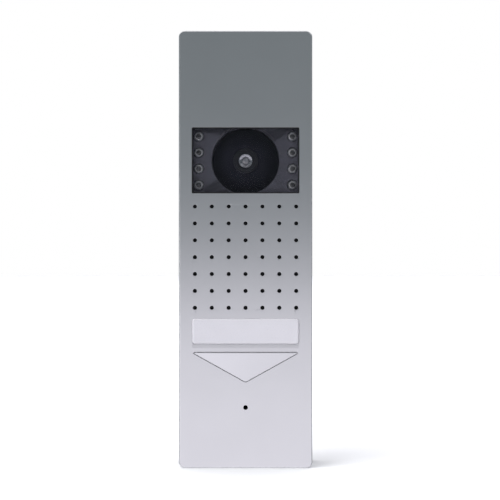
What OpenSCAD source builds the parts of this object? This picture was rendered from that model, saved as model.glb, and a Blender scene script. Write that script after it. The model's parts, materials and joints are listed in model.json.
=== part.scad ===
// Slim surface-mounted door intercom panel: an aluminium fascia over a plastic chassis, with a
// tilting camera behind a smoked window, a loudspeaker grille, a name window, a triangular call
// button and a microphone, closed by a rear housing that hangs on a steel wall bracket.
//
// Every module is drawn lying face up: x across the panel, y up the panel and z out of the wall.
// upright() then stands it up, so that the wall is the plane y = 0 and the front faces -y.

/* [Body] */
// Width of the fascia
body_w = 66; // [64:1:70]
// Height of the fascia
body_h = 216; // [214:1:222]
// Depth from the wall to the front face
body_d = 33; // [33:1:36]
// Corner radius of the fascia, seen from the front
corner_r = 3; // [2:0.5:4]
// Height above the wall of the joint between the fascia and the rear housing
split_z = 14; // [13.5:0.5:14.5]

/* [Camera] */
// Height of the camera above the middle of the panel
camera_y = 43.9; // [43.5:0.1:44.5]
// Width of the opening for the camera window
window_w = 53.2; // [52.5:0.1:53.5]
// Height of the opening for the camera window
window_h = 32.7; // [32:0.1:33]
// Outer radius of the tilting camera ball
ball_r = 19; // [18.8:0.1:19.1]
// Radius of the round opening that shows the ball
iris_r = 16.7; // [16:0.1:16.8]
// Sideways distance of each column of infrared lamps
lamp_x = 23.2; // [23:0.1:23.5]
// Distance between lamps in a column
lamp_pitch = 8; // [7.8:0.1:8.1]

/* [Speaker] */
// Height of the speaker above the middle of the panel
speaker_y = -3.9; // [-4.2:0.1:-3.6]
// Holes along each side of the grille
grille_n = 7; // [5:2:7]
// Distance between grille holes
grille_pitch = 8.34; // [8:0.02:8.4]
// Diameter of a grille hole
grille_d = 2; // [1.5:0.1:2.4]

/* [Name window] */
// Height of the name window's middle above the middle of the panel
name_y = -40.6; // [-40.8:0.1:-40.4]
// Width of the raised part of the name window
name_w = 52.6; // [50:0.1:53]
// Height of the raised part of the name window
name_h = 12.5; // [12:0.1:12.6]

/* [Call button] */
// Height of the button's top edge above the middle of the panel
button_y = -51.1; // [-51.4:0.1:-51]
// Half of the triangle's width, to its pointed corners
button_half_w = 25.4; // [22:0.1:25.5]
// Height of the triangle
button_h = 14.2; // [13:0.1:14.4]
// Gap round the button
button_gap = 0.4; // [0.3:0.05:0.5]
// How far the button travels when it is pressed
button_travel = 1; // [0.6:0.1:1]

/* [Microphone] */
// Height of the microphone above the middle of the panel
mic_y = -78.2; // [-78.5:0.1:-78]
// Diameter of the microphone hole
mic_d = 2.2; // [1.5:0.1:2.5]

/* [Wall bracket] */
// Thickness of the bracket's steel
bracket_t = 1.5; // [1.2:0.1:1.5]
// Distance across between the bracket's corner screw holes
bracket_hole_dx = 40; // [38:1:40]
// Distance up between the bracket's corner screw holes
bracket_hole_dy = 138; // [130:1:138]
// Diameter of the wall screw holes and width of the slots
bracket_hole_d = 4.5; // [4:0.1:5]
// Distance between the two slots for a flush box
box_slot_dy = 60; // [60:0.3:60.3]

/* [Hidden] */
$fn = 64;

cut = 1;             // how far a cutting shape runs past what it cuts
fit = 0.05;          // clearance round a screw or pin in its hole

// Levels above the wall, from the front backwards
front_z = body_d;
fascia_t = 2;
fascia_back_z = front_z - fascia_t;
fascia_wall = 1.6;
fascia_ease = 0.8;   // radius of the eased edge round the front
chassis_t = 2;
chassis_back_z = fascia_back_z - chassis_t;
chassis_wall = 1.5;
chassis_w = body_w - 2 * fascia_wall - 0.4;
chassis_h = body_h - 2 * fascia_wall - 0.4;
chassis_r = 1.2;
seal_t = 0.8;
rear_top_z = split_z - seal_t;

// Rear housing
rear_w = body_w - 1;
rear_h = body_h - 1;
rear_r = 2.5;
rear_wall = 2.2;
back_out_z = 4.2;    // outer face of the back wall, clear of the wall screws' heads
back_in_z = 6.2;

// Camera stack
window_r = 0.6;
gasket_t = 0.4;      // thickness of the gasket's flange
gasket_lip = 0.55;   // thickness of its upstand
pane_flange_t = 0.8;
pane_back_z = fascia_back_z - gasket_t - pane_flange_t;
pane_front_z = front_z - 0.2;
pivot_z = 10;        // the camera tilts about this height
ball_wall = 1.5;
ball_rim_z = 15.3;
skirt_wall = 1.2;
skirt_end_z = 20;
bezel_flange_z = chassis_back_z - 1.4;
bezel_flange = [58, 39];
lamp_tip_z = pane_back_z - 0.2;
lamp_r = 2.5;
lamp_flange_r = 2.9;
lamp_length = 8.6;
lamp_board_z = lamp_tip_z - lamp_length;
lamp_board_t = 1.6;
lead_pitch = 2.54;
lamp_board_x = [19.4, 27.2];
lamp_board_h = 31;
lamp_pad = [25.6, 14];
carrier_z = [15.2, 17.2];
carrier_w = 58;
carrier_h = 41;
carrier_boss = [26.2, 18.3];
carrier_post = [21, 18.2];
trunnion_r = 2;
trunnion_shoulder_r = 3;
ball_ear_x = [15.6, 17.6];
carrier_ear_x = [20.6, 23];
carrier_ear_bottom_z = 6.9;
camera_board_z = [11, 12.2];
camera_board_w = 24;
camera_post = 9.6;
lens_r = 6;
glass_r = 3.4;
lens_front_z = pivot_z + ball_r - 0.6;

// Speaker stack
speaker_r = 25;
speaker_hole_r = 23;
speaker_flange_z = [chassis_back_z - 2, chassis_back_z - 1.2];
mesh_w = 54;
mesh_t = 0.45;
mesh_pocket_t = 0.5;
speaker_boss_r = 2.2;
speaker_boss_reach = 28;
coil_top_z = 22.1;
magnet_r = 16;
basket_back_z = 19.2;
magnet_z = [12.2, basket_back_z];

// Name window stack
name_proud = 0.9;
name_r = 1.4;
name_flange = [55, 14.9];
name_flange_t = 1.1;
card_t = 0.4;
name_gap = 0.2;
guide_lip = [57.4, 13];   // the part of the light guide that hooks behind the chassis
light_box_size = [46, 15];
light_box_wall = 1.2;

// Call button
button_proud = 0.4;
button_flange = 1;      // how far the retaining flange reaches past the cap
button_flange_t = 1;
button_flange_z = fascia_back_z - 0.1 - button_flange_t;
corner_small_r = 0.2;   // radius of the pointed corners
corner_apex_r = 1.6;    // radius of the lower corner
button_middle_y = button_y - button_h * 0.36;
stem_r = 3;
stem_end_z = 27.2;
guide_plate_z = [24.8, 26.3];
spring_x = 11;
spring_y = button_y - 2.8;
spring_r = 2;
spring_wire_r = 0.2;
spring_turns = 4;
switch_top_z = 24.6;
plunger_r = 1.8;
plunger_bottom_z = 22;

// Audio board
audio_z = [17, 18.6];
audio_w = 56;
audio_y = [-97, -28.5];
audio_bosses = [[-26.2, -31.3], [26.2, -31.3], [-25.5, -92], [25.5, -92]];
mic_r = 4.85;
mic_boot_r = 6.3;
mic_top_z = 25.5;
trimmer_x = 10;
trimmer_y = -68;
trimmer_z = [13, audio_z[0]];
rotor_r = 2.5;
rotor_z = [12.4, 14.1];

// Terminal board
terminal_z = [18.2, 19.8];
terminal_w = 46;
terminal_y = [67, 103];
terminal_bosses = [for (x = [-20.8, 20.8]) for (y = [70.5, 99.5]) [x, y]];
block_ways = 6;
block_pitch = 5;
block_y = [88, 98];
block_w = block_ways * block_pitch + 1;
block_bottom_z = 6;
well_x = 17;
well_y = [76, 100];
well_wall = 1.5;

// Housing screws, hooks and lock
post_x = 26.4;
posts = [for (x = [-post_x, post_x]) for (y = [-100.6, 18, 100.6]) [x, y]];
post_r = 2.8;
column_r = 4.2;
screw_seat_z = 7.4;
bracket_x = 26;
bracket_y = [-98, 68];
bracket_middle_y = -15;
cable_window = [28, 26];
hook_x = [8, 16];
hook_y = 63.5;
hook_rise = 4;
hook_z = [back_in_z + 0.2, back_in_z + 0.2 + bracket_t];
hook_slot_y = [hook_y - hook_rise - 0.2, hook_y + bracket_t + 0.1];
tab_x = 6;
tab_top_z = 10.5;
lock_z = 6.5;
lock_r = 1.5;
lock_head_r = 2.75;
lock_pocket_x = 8;
lock_pocket_y = [-103.5, -94.6];
lock_pocket_top_z = 11.2;
pocket_wall = 1.3;
plug_r = 2.7;

// ---------------------------------------------------------------- helpers

module upright() rotate([90, 0, 0]) children();

module rounded_rect(w, h, r) {
    square([w - 2 * r, h], center = true);
    square([w, h - 2 * r], center = true);
    for (x = [-1, 1]) for (y = [-1, 1])
        translate([x * (w / 2 - r), y * (h / 2 - r)]) circle(r = r);
}

// A rounded slab between two levels
module slab(w, h, r, z0, z1) translate([0, 0, z0]) linear_extrude(z1 - z0) rounded_rect(w, h, r);

// A sharp-edged box between two corners
module box(low, high) translate(low) cube(high - low);

module rod(r, z0, z1) translate([0, 0, z0]) cylinder(r = r, h = z1 - z0);

module ring(r_out, r_in, z0, z1) difference() {
    rod(r_out, z0, z1);
    rod(r_in, z0 - cut, z1 + cut);
}

// A cylinder along x between two places
module cross_rod(r, x0, x1) translate([x0, 0, 0]) rotate([0, 90, 0]) cylinder(r = r, h = x1 - x0);

module at(places) for (p = places) translate([p[0], p[1], 0]) children();

// A pan-head screw whose head is towards the wall: it runs from head_z forwards to tip_z
module rear_screw(r, head_r, head_t, head_z, tip_z) difference() {
    recess_r = head_r * 0.6;
    recess_half_w = 0.3;
    recess_end_z = head_z - head_t * 0.4;
    union() {
        rod(head_r, head_z - head_t, head_z);
        rod(r, head_z, tip_z);
    }
    for (a = [0, 90]) rotate([0, 0, a])
        box([-recess_r, -recess_half_w, head_z - head_t - cut], [recess_r, recess_half_w, recess_end_z]);
}

// The triangular outline of the call button, grown by d. Its corners are arcs of their own radii.
function corner_centres() = let (c = corner_small_r, h = button_half_w - c) [
    [-h, button_y - c], [0, button_y - button_h + corner_apex_r], [h, button_y - c]
];
function corner_radii() = [corner_small_r, corner_apex_r, corner_small_r];
// Direction of the outward normal of the side from corner i to the next, going anticlockwise
function side_normal(c, r, i) = let (j = (i + 1) % 3, s = c[j] - c[i])
    atan2(s[1], s[0]) - acos((r[i] - r[j]) / norm(s));
function triangle_points(d, steps = 8) = let (c = corner_centres(), r = corner_radii())
    [for (i = [0:2]) let (
        from = side_normal(c, r, (i + 2) % 3),
        turn = (side_normal(c, r, i) - from + 720) % 360
    ) for (k = [0:steps])
        c[i] + (r[i] + d) * [cos(from + turn * k / steps), sin(from + turn * k / steps)]];
module triangle(d, z0, z1) translate([0, 0, z0]) linear_extrude(z1 - z0) polygon(triangle_points(d));

// A slab with rounded corners whose front edge is eased by a quarter round
module eased_slab(w, h, r, z0, z1, ease) {
    arc = [for (a = [0:15:90]) [r - ease + ease * cos(a), z1 - ease + ease * sin(a)]];
    profile = concat([[0, z0], [r, z0]], arc, [[0, z1]]);
    for (q = [0:3]) rotate([0, 0, q * 90]) {
        across = q % 2 == 0 ? w : h;
        along = q % 2 == 0 ? h : w;
        translate([across / 2 - r, along / 2 - r, 0]) rotate_extrude(angle = 90) polygon(profile);
        translate([across / 2 - r, along / 2 - r, 0]) rotate([90, 0, 0])
            linear_extrude(along - 2 * r) polygon(profile);
    }
    box([r - w / 2, r - h / 2, z0], [w / 2 - r, h / 2 - r, z1]);
}

function unit(v) = v / norm(v);
function heading(path, i) = unit(path[min(i + 1, len(path) - 1)] - path[max(i - 1, 0)]);
// A closed tube swept along a path; side is a direction that the path never runs along
module swept(path, r, sides, side) {
    n = len(path);
    points = [for (i = [0:n - 1]) let (t = heading(path, i), u = unit(cross(t, side)), v = cross(t, u))
        for (k = [0:sides - 1]) path[i] + r * (cos(360 * k / sides) * u + sin(360 * k / sides) * v)];
    walls = [for (i = [0:n - 2]) for (k = [0:sides - 1])
        let (m = (k + 1) % sides, a = i * sides, b = a + sides)
        each [[a + k, a + m, b + m], [a + k, b + m, b + k]]];
    start = [for (k = [sides - 1:-1:0]) k];
    end = [for (k = [0:sides - 1]) (n - 1) * sides + k];
    polyhedron(points = points, faces = concat([start], walls, [end]));
}

// A smooth path through hand-chosen points
function curve_point(a, b, c, d, t) = 0.5 * (2 * b + (c - a) * t
    + (2 * a - 5 * b + 4 * c - d) * t * t + (3 * b - a - 3 * c + d) * t * t * t);
function smooth(p, steps) = [for (i = [0:len(p) - 2]) for (k = [0:steps - 1])
    curve_point(p[max(i - 1, 0)], p[i], p[i + 1], p[min(i + 2, len(p) - 1)], k / steps),
    p[len(p) - 1]];

// ---------------------------------------------------------------- fascia and chassis

grille = [for (i = [0:grille_n - 1]) for (j = [0:grille_n - 1])
    [(i - (grille_n - 1) / 2) * grille_pitch, speaker_y + (j - (grille_n - 1) / 2) * grille_pitch]];

module front_plate() color([0.72, 0.72, 0.74]) upright() difference() {
    eased_slab(body_w, body_h, corner_r, split_z, front_z, fascia_ease);
    slab(body_w - 2 * fascia_wall, body_h - 2 * fascia_wall, corner_r - fascia_wall,
        split_z - cut, fascia_back_z);
    translate([0, camera_y, 0]) slab(window_w, window_h, window_r, fascia_back_z - cut, front_z + cut);
    translate([0, name_y, 0])
        slab(name_w + 2 * name_gap, name_h + 2 * name_gap, name_r + name_gap,
            fascia_back_z - cut, front_z + cut);
    triangle(button_gap, fascia_back_z - cut, front_z + cut);
    at(grille) rod(grille_d / 2, fascia_back_z - cut, front_z + cut);
    at([[0, mic_y]]) rod(mic_d / 2, fascia_back_z - cut, front_z + cut);
}

speaker_bosses = [for (a = [45:90:315])
    [speaker_boss_reach * cos(a), speaker_y + speaker_boss_reach * sin(a)]];
carrier_bosses = [for (x = [-1, 1]) for (y = [-1, 1])
    [x * carrier_boss[0], camera_y + y * carrier_boss[1]]];

module chassis() color([0.09, 0.09, 0.1]) upright() difference() {
    union() {
        difference() {
            slab(chassis_w, chassis_h, chassis_r, split_z, fascia_back_z);
            slab(chassis_w - 2 * chassis_wall, chassis_h - 2 * chassis_wall, 0.6,
                split_z - cut, chassis_back_z);
        }
        at(posts) rod(post_r, rear_top_z, chassis_back_z + 0.5);
        at(carrier_bosses) rod(2.4, carrier_z[1], chassis_back_z + 0.5);
        at(speaker_bosses) rod(speaker_boss_r, speaker_flange_z[0], chassis_back_z + 0.5);
        at(audio_bosses) rod(2.4, audio_z[1], chassis_back_z + 0.5);
        at(terminal_bosses) rod(2.4, terminal_z[1], chassis_back_z + 0.5);
    }
    translate([0, camera_y, 0])
        slab(window_w + 3.2, window_h + 3.2, 1, chassis_back_z - cut, fascia_back_z + cut);
    translate([0, speaker_y, 0]) {
        slab(mesh_w + 0.4, mesh_w + 0.4, 1, fascia_back_z - mesh_pocket_t, fascia_back_z + cut);
        rod(speaker_hole_r, chassis_back_z - cut, fascia_back_z);
    }
    translate([0, name_y, 0])
        slab(name_flange[0] + 0.4, name_flange[1] + 0.4, 1, chassis_back_z - cut, fascia_back_z + cut);
    triangle(button_flange + 0.5, chassis_back_z - cut, fascia_back_z + cut);
    at([[0, mic_y]]) rod(mic_d / 2 + 0.3, chassis_back_z - cut, fascia_back_z + cut);
    at(posts) rod(1.25 + fit, rear_top_z - cut, 24);
    at(concat(carrier_bosses, audio_bosses, terminal_bosses)) rod(1 + fit, audio_z[0], 28);
    at(speaker_bosses) rod(1 + fit, speaker_flange_z[0] - cut, chassis_back_z + 1);
}

// ---------------------------------------------------------------- camera window and lamps

module window_gasket() color([0.05, 0.05, 0.05]) upright() translate([0, camera_y, 0]) difference() {
    union() {
        slab(window_w - 0.1, window_h - 0.1, window_r, fascia_back_z - gasket_t, front_z - 0.1);
        slab(window_w + 2.8, window_h + 2.8, 1, fascia_back_z - gasket_t, fascia_back_z);
    }
    slab(window_w - 2 * gasket_lip, window_h - 2 * gasket_lip, 0.4, 0, front_z + cut);
}

module camera_window() color([0.16, 0.17, 0.19, 0.5]) upright() translate([0, camera_y, 0]) {
    inner = 2 * gasket_lip + 0.1;
    slab(window_w - inner, window_h - inner, 0.4, pane_back_z, pane_front_z);
    slab(window_w + 1.4, window_h + 1.4, 0.8, pane_back_z, pane_back_z + pane_flange_t);
}

lamps = [for (x = [-1, 1]) for (k = [-1.5:1.5]) [x * lamp_x, camera_y + k * lamp_pitch]];

module lamp_bezel() color([0.2, 0.21, 0.23]) upright() difference() {
    translate([0, camera_y, 0]) union() {
        slab(window_w + 2.8, window_h + 2.8, 1, chassis_back_z - 0.7, pane_back_z);
        // The flange is a cross, which leaves its corners to the screw bosses
        slab(bezel_flange[0], 2 * (carrier_boss[1] - 2.9), 0.5, bezel_flange_z, chassis_back_z);
        slab(2 * (carrier_boss[0] - 2.9), bezel_flange[1], 0.5, bezel_flange_z, chassis_back_z);
        rod(iris_r + skirt_wall, skirt_end_z, bezel_flange_z + 0.5);
    }
    translate([0, camera_y, 0]) rod(iris_r, 0, front_z);
    at(lamps) rod(lamp_r + 0.2, 0, front_z);
}

module lamp() {
    rod(lamp_flange_r, lamp_board_z, lamp_board_z + 1);
    rod(lamp_r, lamp_board_z, lamp_tip_z - lamp_r);
    translate([0, 0, lamp_tip_z - lamp_r]) sphere(r = lamp_r);
    for (y = [-1, 1]) translate([0, y * lead_pitch / 2, 0])
        box([-0.25, -0.25, lamp_board_z - lamp_board_t - 1], [0.25, 0.25, lamp_board_z + 0.5]);
}

module infrared_lamps() color([0.75, 0.75, 0.8, 0.6]) upright() at(lamps) lamp();

module lamp_boards() color([0.08, 0.3, 0.16]) upright() difference() {
    mid = (lamp_board_x[0] + lamp_board_x[1]) / 2;
    at([for (x = [-mid, mid]) [x, camera_y]]) slab(lamp_board_x[1] - lamp_board_x[0], lamp_board_h, 0.6,
        lamp_board_z - lamp_board_t, lamp_board_z);
    at(lamps) for (y = [-1, 1]) translate([0, y * lead_pitch / 2, 0]) rod(0.5, 0, front_z);
}

// ---------------------------------------------------------------- tilting camera

module camera_carrier() color([0.1, 0.1, 0.11]) upright() translate([0, camera_y, 0]) difference() {
    union() {
        slab(carrier_w, carrier_h, 1.5, carrier_z[0], carrier_z[1]);
        // Posts that press the bezel forwards, and pads under the lamp boards
        for (x = [-1, 1]) for (y = [-1, 1]) translate([x * carrier_post[0], y * carrier_post[1], 0])
            rod(1.5, carrier_z[0], bezel_flange_z);
        for (x = [-1, 1]) for (y = [-1, 1]) translate([x * lamp_pad[0], y * lamp_pad[1], 0])
            rod(1.1, carrier_z[0], lamp_board_z - lamp_board_t);
        // Bearing ears for the trunnions
        for (x = [-carrier_ear_x[1], carrier_ear_x[0]])
            box([x, -5, carrier_ear_bottom_z],
                [x + carrier_ear_x[1] - carrier_ear_x[0], 5, carrier_z[1]]);
    }
    rod(ball_r - 0.1, carrier_z[0] - cut, carrier_z[1] + cut);
    translate([0, 0, pivot_z]) cross_rod(trunnion_r + fit, -carrier_w, carrier_w);
    for (x = [-1, 1]) for (y = [-1, 1]) translate([x * carrier_boss[0], y * carrier_boss[1], 0])
        rod(1 + 0.2, 0, front_z);
}

module carrier_screws() color([0.6, 0.6, 0.62]) upright()
    at(carrier_bosses) rear_screw(1, 1.9, 1.4, carrier_z[0], carrier_z[1] + 6);

module camera_ball() color([0.03, 0.03, 0.04]) upright() translate([0, camera_y, pivot_z]) difference() {
    rim = ball_rim_z - pivot_z;
    union() {
        // The cap that shows through the opening
        difference() {
            sphere(r = ball_r);
            sphere(r = ball_r - ball_wall);
            box([-ball_r - cut, -ball_r - cut, -ball_r - cut], [ball_r + cut, ball_r + cut, rim]);
        }
        // Posts for the camera board and ears for the trunnions, kept inside the ball
        intersection() {
            sphere(r = ball_r - 0.4);
            union() {
                for (x = [-1, 1]) for (y = [-1, 1]) translate([x * camera_post, y * camera_post, 0])
                    rod(2, camera_board_z[1] - pivot_z, ball_r);
                for (x = [-ball_ear_x[1], ball_ear_x[0]])
                    box([x, -3.6, -2.4], [x + ball_ear_x[1] - ball_ear_x[0], 3.6, ball_r]);
            }
        }
        for (s = [0, 180]) rotate([0, 0, s]) {
            cross_rod(trunnion_shoulder_r, ball_ear_x[0], carrier_ear_x[0] - 0.2);
            cross_rod(trunnion_r, ball_ear_x[0], carrier_ear_x[1] + 0.4);
        }
    }
    rod(lens_r + 0.2, 0, ball_r + cut);
    for (x = [-1, 1]) for (y = [-1, 1]) translate([x * camera_post, y * camera_post, 0])
        rod(0.8 + fit, 0, 7);
}

module lens_barrel() color([0.04, 0.04, 0.05]) upright() translate([0, camera_y, 0]) difference() {
    union() {
        rod(lens_r, 14.6, lens_front_z);
        rod(lens_r - 0.4, 14.2, 14.8);
    }
    rod(glass_r + fit, lens_front_z - 2.4, lens_front_z + cut);
    rod(2.6, 14, lens_front_z - 2);
}

module lens_glass() color([0.55, 0.58, 0.66, 0.6]) upright() translate([0, camera_y, 0]) intersection() {
    rod(glass_r, lens_front_z - 2.4, lens_front_z);
    translate([0, 0, lens_front_z - 0.15 - 5.5]) sphere(r = 5.5);
}

module lens_holder() color([0.12, 0.12, 0.13]) upright() translate([0, camera_y, 0]) difference() {
    union() {
        slab(14.5, 14.5, 1, camera_board_z[1], camera_board_z[1] + 2.2);
        rod(7.1, camera_board_z[1], 20.5);
    }
    rod(lens_r + fit, 14.2, 21);
    rod(5.4, camera_board_z[1] - cut, 14.3);
}

module image_sensor() color([0.2, 0.22, 0.3]) upright() translate([0, camera_y, 0])
    slab(7, 6, 0.2, camera_board_z[1], camera_board_z[1] + 1);

module camera_board() color([0.08, 0.3, 0.16]) upright() translate([0, camera_y, 0]) difference() {
    slab(camera_board_w, camera_board_w, 1, camera_board_z[0], camera_board_z[1]);
    for (x = [-1, 1]) for (y = [-1, 1]) translate([x * camera_post, y * camera_post, 0])
        rod(1, 0, front_z);
}

module camera_board_screws() color([0.6, 0.6, 0.62]) upright() translate([0, camera_y, 0])
    for (x = [-1, 1]) for (y = [-1, 1]) translate([x * camera_post, y * camera_post, 0])
        rear_screw(0.8, 1.5, 0.9, camera_board_z[0], camera_board_z[1] + 4);

camera_plug_y = camera_y + 6.4;
module camera_plug() color([0.9, 0.88, 0.8]) upright() translate([0, camera_plug_y, 0])
    slab(7.5, 3.4, 0.3, camera_board_z[0] - 2.4, camera_board_z[0]);

// The camera's lead rises from its plug to the terminal board's lower edge
camera_cable_points = [[0, camera_plug_y + 1.7, 9.8], [0, 53, 9.8], [0, 54.5, 9.8], [0, 58, 10.4],
    [0, 62, 11.8], [0, 65.8, 13.8], [0, 68.6, 15.8], [0, 69.4, 17], [0, 69.4, 17.6],
    [0, 69.4, terminal_z[0]]];
module camera_cable() color([0.15, 0.15, 0.16]) upright()
    swept(smooth(camera_cable_points, 3), 0.9, 8, [1, 0, 0]);

// ---------------------------------------------------------------- speaker

module speaker_mesh() color([0.02, 0.02, 0.02]) upright() translate([0, speaker_y, 0])
    slab(mesh_w, mesh_w, 0.8, fascia_back_z - mesh_pocket_t, fascia_back_z - mesh_pocket_t + mesh_t);

module speaker_gasket() color([0.1, 0.1, 0.1]) upright() translate([0, speaker_y, 0])
    ring(speaker_r, speaker_hole_r, speaker_flange_z[1], chassis_back_z);

module speaker_basket() color([0.55, 0.56, 0.58]) upright() translate([0, speaker_y, 0]) difference() {
    rotate_extrude() polygon([[9, basket_back_z], [17.6, basket_back_z], [23.4, speaker_flange_z[0]],
        [speaker_r, speaker_flange_z[0]], [speaker_r, speaker_flange_z[1]], [22.6, speaker_flange_z[1]],
        [22.6, 26.9], [21.9, 26.9], [17.1, basket_back_z + 1], [9, basket_back_z + 1]]);
    // Windows in the sloping wall
    for (a = [0:60:300]) rotate([0, 0, a]) translate([20.4, 0, 0]) rod(2.6, 15, 25.4);
}

// The dust cap, the paper cone and the rolled surround, whose rim rests in the basket
module speaker_cone() color([0.16, 0.16, 0.17]) upright() translate([0, speaker_y, 0]) rotate_extrude()
    polygon([[0, 24], [3.5, 23.6], [6.4, coil_top_z], [7.1, coil_top_z], [18.9, 25.5], [19.9, 26.7],
        [20.8, 27], [21.6, 26.9], [22.5, 26.9], [22.5, 27.3], [20.8, 27.5], [19.6, 27.2], [18.4, 25.9],
        [7.2, 22.7], [3.6, 24.1], [0, 24.5]]);

module voice_coil() color([0.65, 0.4, 0.2]) upright() translate([0, speaker_y, 0])
    ring(7, 6.5, 17.5, coil_top_z);

module speaker_magnet() color([0.2, 0.2, 0.21]) upright() translate([0, speaker_y, 0])
    ring(magnet_r, 8.2, magnet_z[0], magnet_z[1]);

module speaker_yoke() color([0.62, 0.62, 0.64]) upright() translate([0, speaker_y, 0]) {
    rod(magnet_r - 1, magnet_z[0] - 2, magnet_z[0]);
    rod(6.1, magnet_z[0] - 1, basket_back_z + 0.6);
}

// Each clip bridges a boss and the rim of the speaker
module speaker_clips() color([0.7, 0.7, 0.72]) upright() translate([0, speaker_y, 0])
    for (a = [45:90:315]) rotate([0, 0, a]) difference() {
        translate([speaker_boss_reach - 1.2, 0, 0])
            slab(6.4, 5, 1, speaker_flange_z[0] - 0.8, speaker_flange_z[0]);
        translate([speaker_boss_reach, 0, 0]) rod(1.2, 0, front_z);
    }

module speaker_screws() color([0.6, 0.6, 0.62]) upright()
    at(speaker_bosses) rear_screw(1, 1.9, 1.4, speaker_flange_z[0] - 0.8, chassis_back_z + 0.8);

// Thin leads from the basket's back to the audio board, and from each lamp board up to the terminal
// board, between a post of the carrier and a boss of the chassis
speaker_lead = [[-20.7, 19.2], [-20.8, 18.4], [-21.6, 17], [-23.4, 15.4], [-26, 14.3], [-29, 14.1],
    [-31.6, 14.8], [-32.6, 16.1], [-32.7, 17]];
lamp_lead = [[23.15, 59.4, 20.2], [23.15, 61, 20.2], [23.15, 63.3, 20.1], [22.6, 65, 19.3],
    [22.3, 66, 19], [22.3, 67, 19]];
module speaker_and_lamp_leads() color([0.55, 0.08, 0.08]) upright() {
    for (x = [-2, 2])
        swept(smooth([for (p = speaker_lead) [x, p[0], p[1]]], 2), 0.6, 8, [1, 0, 0]);
    for (s = [-1, 1])
        swept(smooth([for (p = lamp_lead) [s * p[0], p[1], p[2]]], 2), 0.45, 8, [0, 0, 1]);
}

// The cable that joins the terminal board to the audio board, round the camera and the speaker
board_cable_points = [[-20.7, 79, terminal_z[0]], [-20.7, 79, 17.5], [-20.7, 79, 16.8],
    [-20.9, 77.2, 13.6], [-22, 71.5, 10.6],
    [-24.5, 62, 9.4], [-25.7, 52, 9.2], [-25.7, 36, 9.2], [-24, 29, 9.3], [-20.6, 23.4, 9.6],
    [-19.6, 17, 9.8], [-19.6, 8, 9.8], [-19.8, -6, 9.8], [-19.5, -18, 9.8], [-18.4, -27, 10.4],
    [-17.3, -31.6, 12.4], [-17, -33.6, 13.8], [-17, -34.6, 13.8], [-17, -35.5, 13.8]];
module board_cable() color([0.2, 0.2, 0.22]) upright()
    swept(smooth(board_cable_points, 2), 1.1, 10, [1, 0.4, 0.3]);

// ---------------------------------------------------------------- name window

module name_window() color([0.88, 0.88, 0.92, 0.6]) upright() translate([0, name_y, 0]) {
    slab(name_w, name_h, name_r, fascia_back_z - 0.3, front_z + name_proud);
    slab(name_flange[0], name_flange[1], 0.8, fascia_back_z - name_flange_t, fascia_back_z);
}

card_z = fascia_back_z - name_flange_t;
module name_card() color([0.93, 0.93, 0.95]) upright() translate([0, name_y, 0])
    slab(53, 13.5, 0.3, card_z - card_t, card_z);

module light_guide() color([0.9, 0.9, 0.88, 0.8]) upright() translate([0, name_y, 0]) {
    slab(54.4, 14.4, 0.5, chassis_back_z, card_z - card_t);
    slab(guide_lip[0], guide_lip[1], 0.5, chassis_back_z - 1.5, chassis_back_z);
}

module light_box() color([0.92, 0.92, 0.92]) upright() translate([0, name_y, 0]) difference() {
    slab(light_box_size[0], light_box_size[1], 0.5, audio_z[1], chassis_back_z - 1.5);
    slab(light_box_size[0] - 2 * light_box_wall, light_box_size[1] - 2 * light_box_wall, 0.4,
        audio_z[1] - cut, front_z);
}

module backlight_lamps() color([0.95, 0.9, 0.6]) upright() translate([0, name_y, 0])
    for (x = [-15, 0, 15]) translate([x, 0, 0]) slab(3.5, 2.8, 0.3, audio_z[1], audio_z[1] + 1.9);

// ---------------------------------------------------------------- call button

module call_button() color([0.78, 0.78, 0.8]) upright() {
    triangle(0, button_flange_z, front_z + button_proud);
    triangle(button_flange, button_flange_z, button_flange_z + button_flange_t);
    translate([0, button_middle_y, 0]) rod(stem_r, stem_end_z, button_flange_z + 0.5);
    for (x = [-spring_x, spring_x]) translate([x, spring_y, 0])
        rod(spring_r - 0.7, button_flange_z - 1, button_flange_z + 0.5);
}

module button_guide() color([0.1, 0.1, 0.11]) upright() difference() {
    triangle(button_flange + 1.5, guide_plate_z[0], chassis_back_z);
    triangle(button_flange + 0.5, guide_plate_z[1], front_z);
    translate([0, button_middle_y, 0]) rod(stem_r + 0.3, 0, front_z);
}

module button_springs() color([0.75, 0.75, 0.77]) upright() for (x = [-spring_x, spring_x]) {
    bottom = guide_plate_z[1] + spring_wire_r;
    rise = button_flange_z - guide_plate_z[1] - 2 * spring_wire_r;
    steps = 12 * spring_turns;
    swept([for (i = [0:steps]) [x + spring_r * cos(30 * i), spring_y + spring_r * sin(30 * i),
        bottom + rise * i / steps]], spring_wire_r, 6, [0, 0, 1]);
}

module call_switch() color([0.13, 0.13, 0.15]) upright() translate([0, button_middle_y, 0]) difference() {
    slab(8.5, 8.5, 0.5, audio_z[1], switch_top_z);
    rod(plunger_r + fit, plunger_bottom_z - button_travel - 0.3, front_z);
}

module switch_plunger() color([0.85, 0.85, 0.83]) upright() translate([0, button_middle_y, 0])
    rod(plunger_r, plunger_bottom_z, stem_end_z);

// ---------------------------------------------------------------- microphone and audio board

module microphone() color([0.75, 0.75, 0.77]) upright() translate([0, mic_y, 0])
    rod(mic_r, audio_z[1], mic_top_z);

module microphone_boot() color([0.08, 0.08, 0.08]) upright() translate([0, mic_y, 0]) difference() {
    rod(mic_boot_r, audio_z[1], chassis_back_z);
    rod(mic_r + fit, audio_z[1] - cut, mic_top_z + 0.1);
    rod(mic_d / 2, audio_z[1] - cut, front_z);
}

module audio_board() color([0.08, 0.3, 0.16]) upright() difference() {
    box([-audio_w / 2, audio_y[0], audio_z[0]], [audio_w / 2, audio_y[1], audio_z[1]]);
    at(audio_bosses) rod(1.2, 0, front_z);
}

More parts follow.
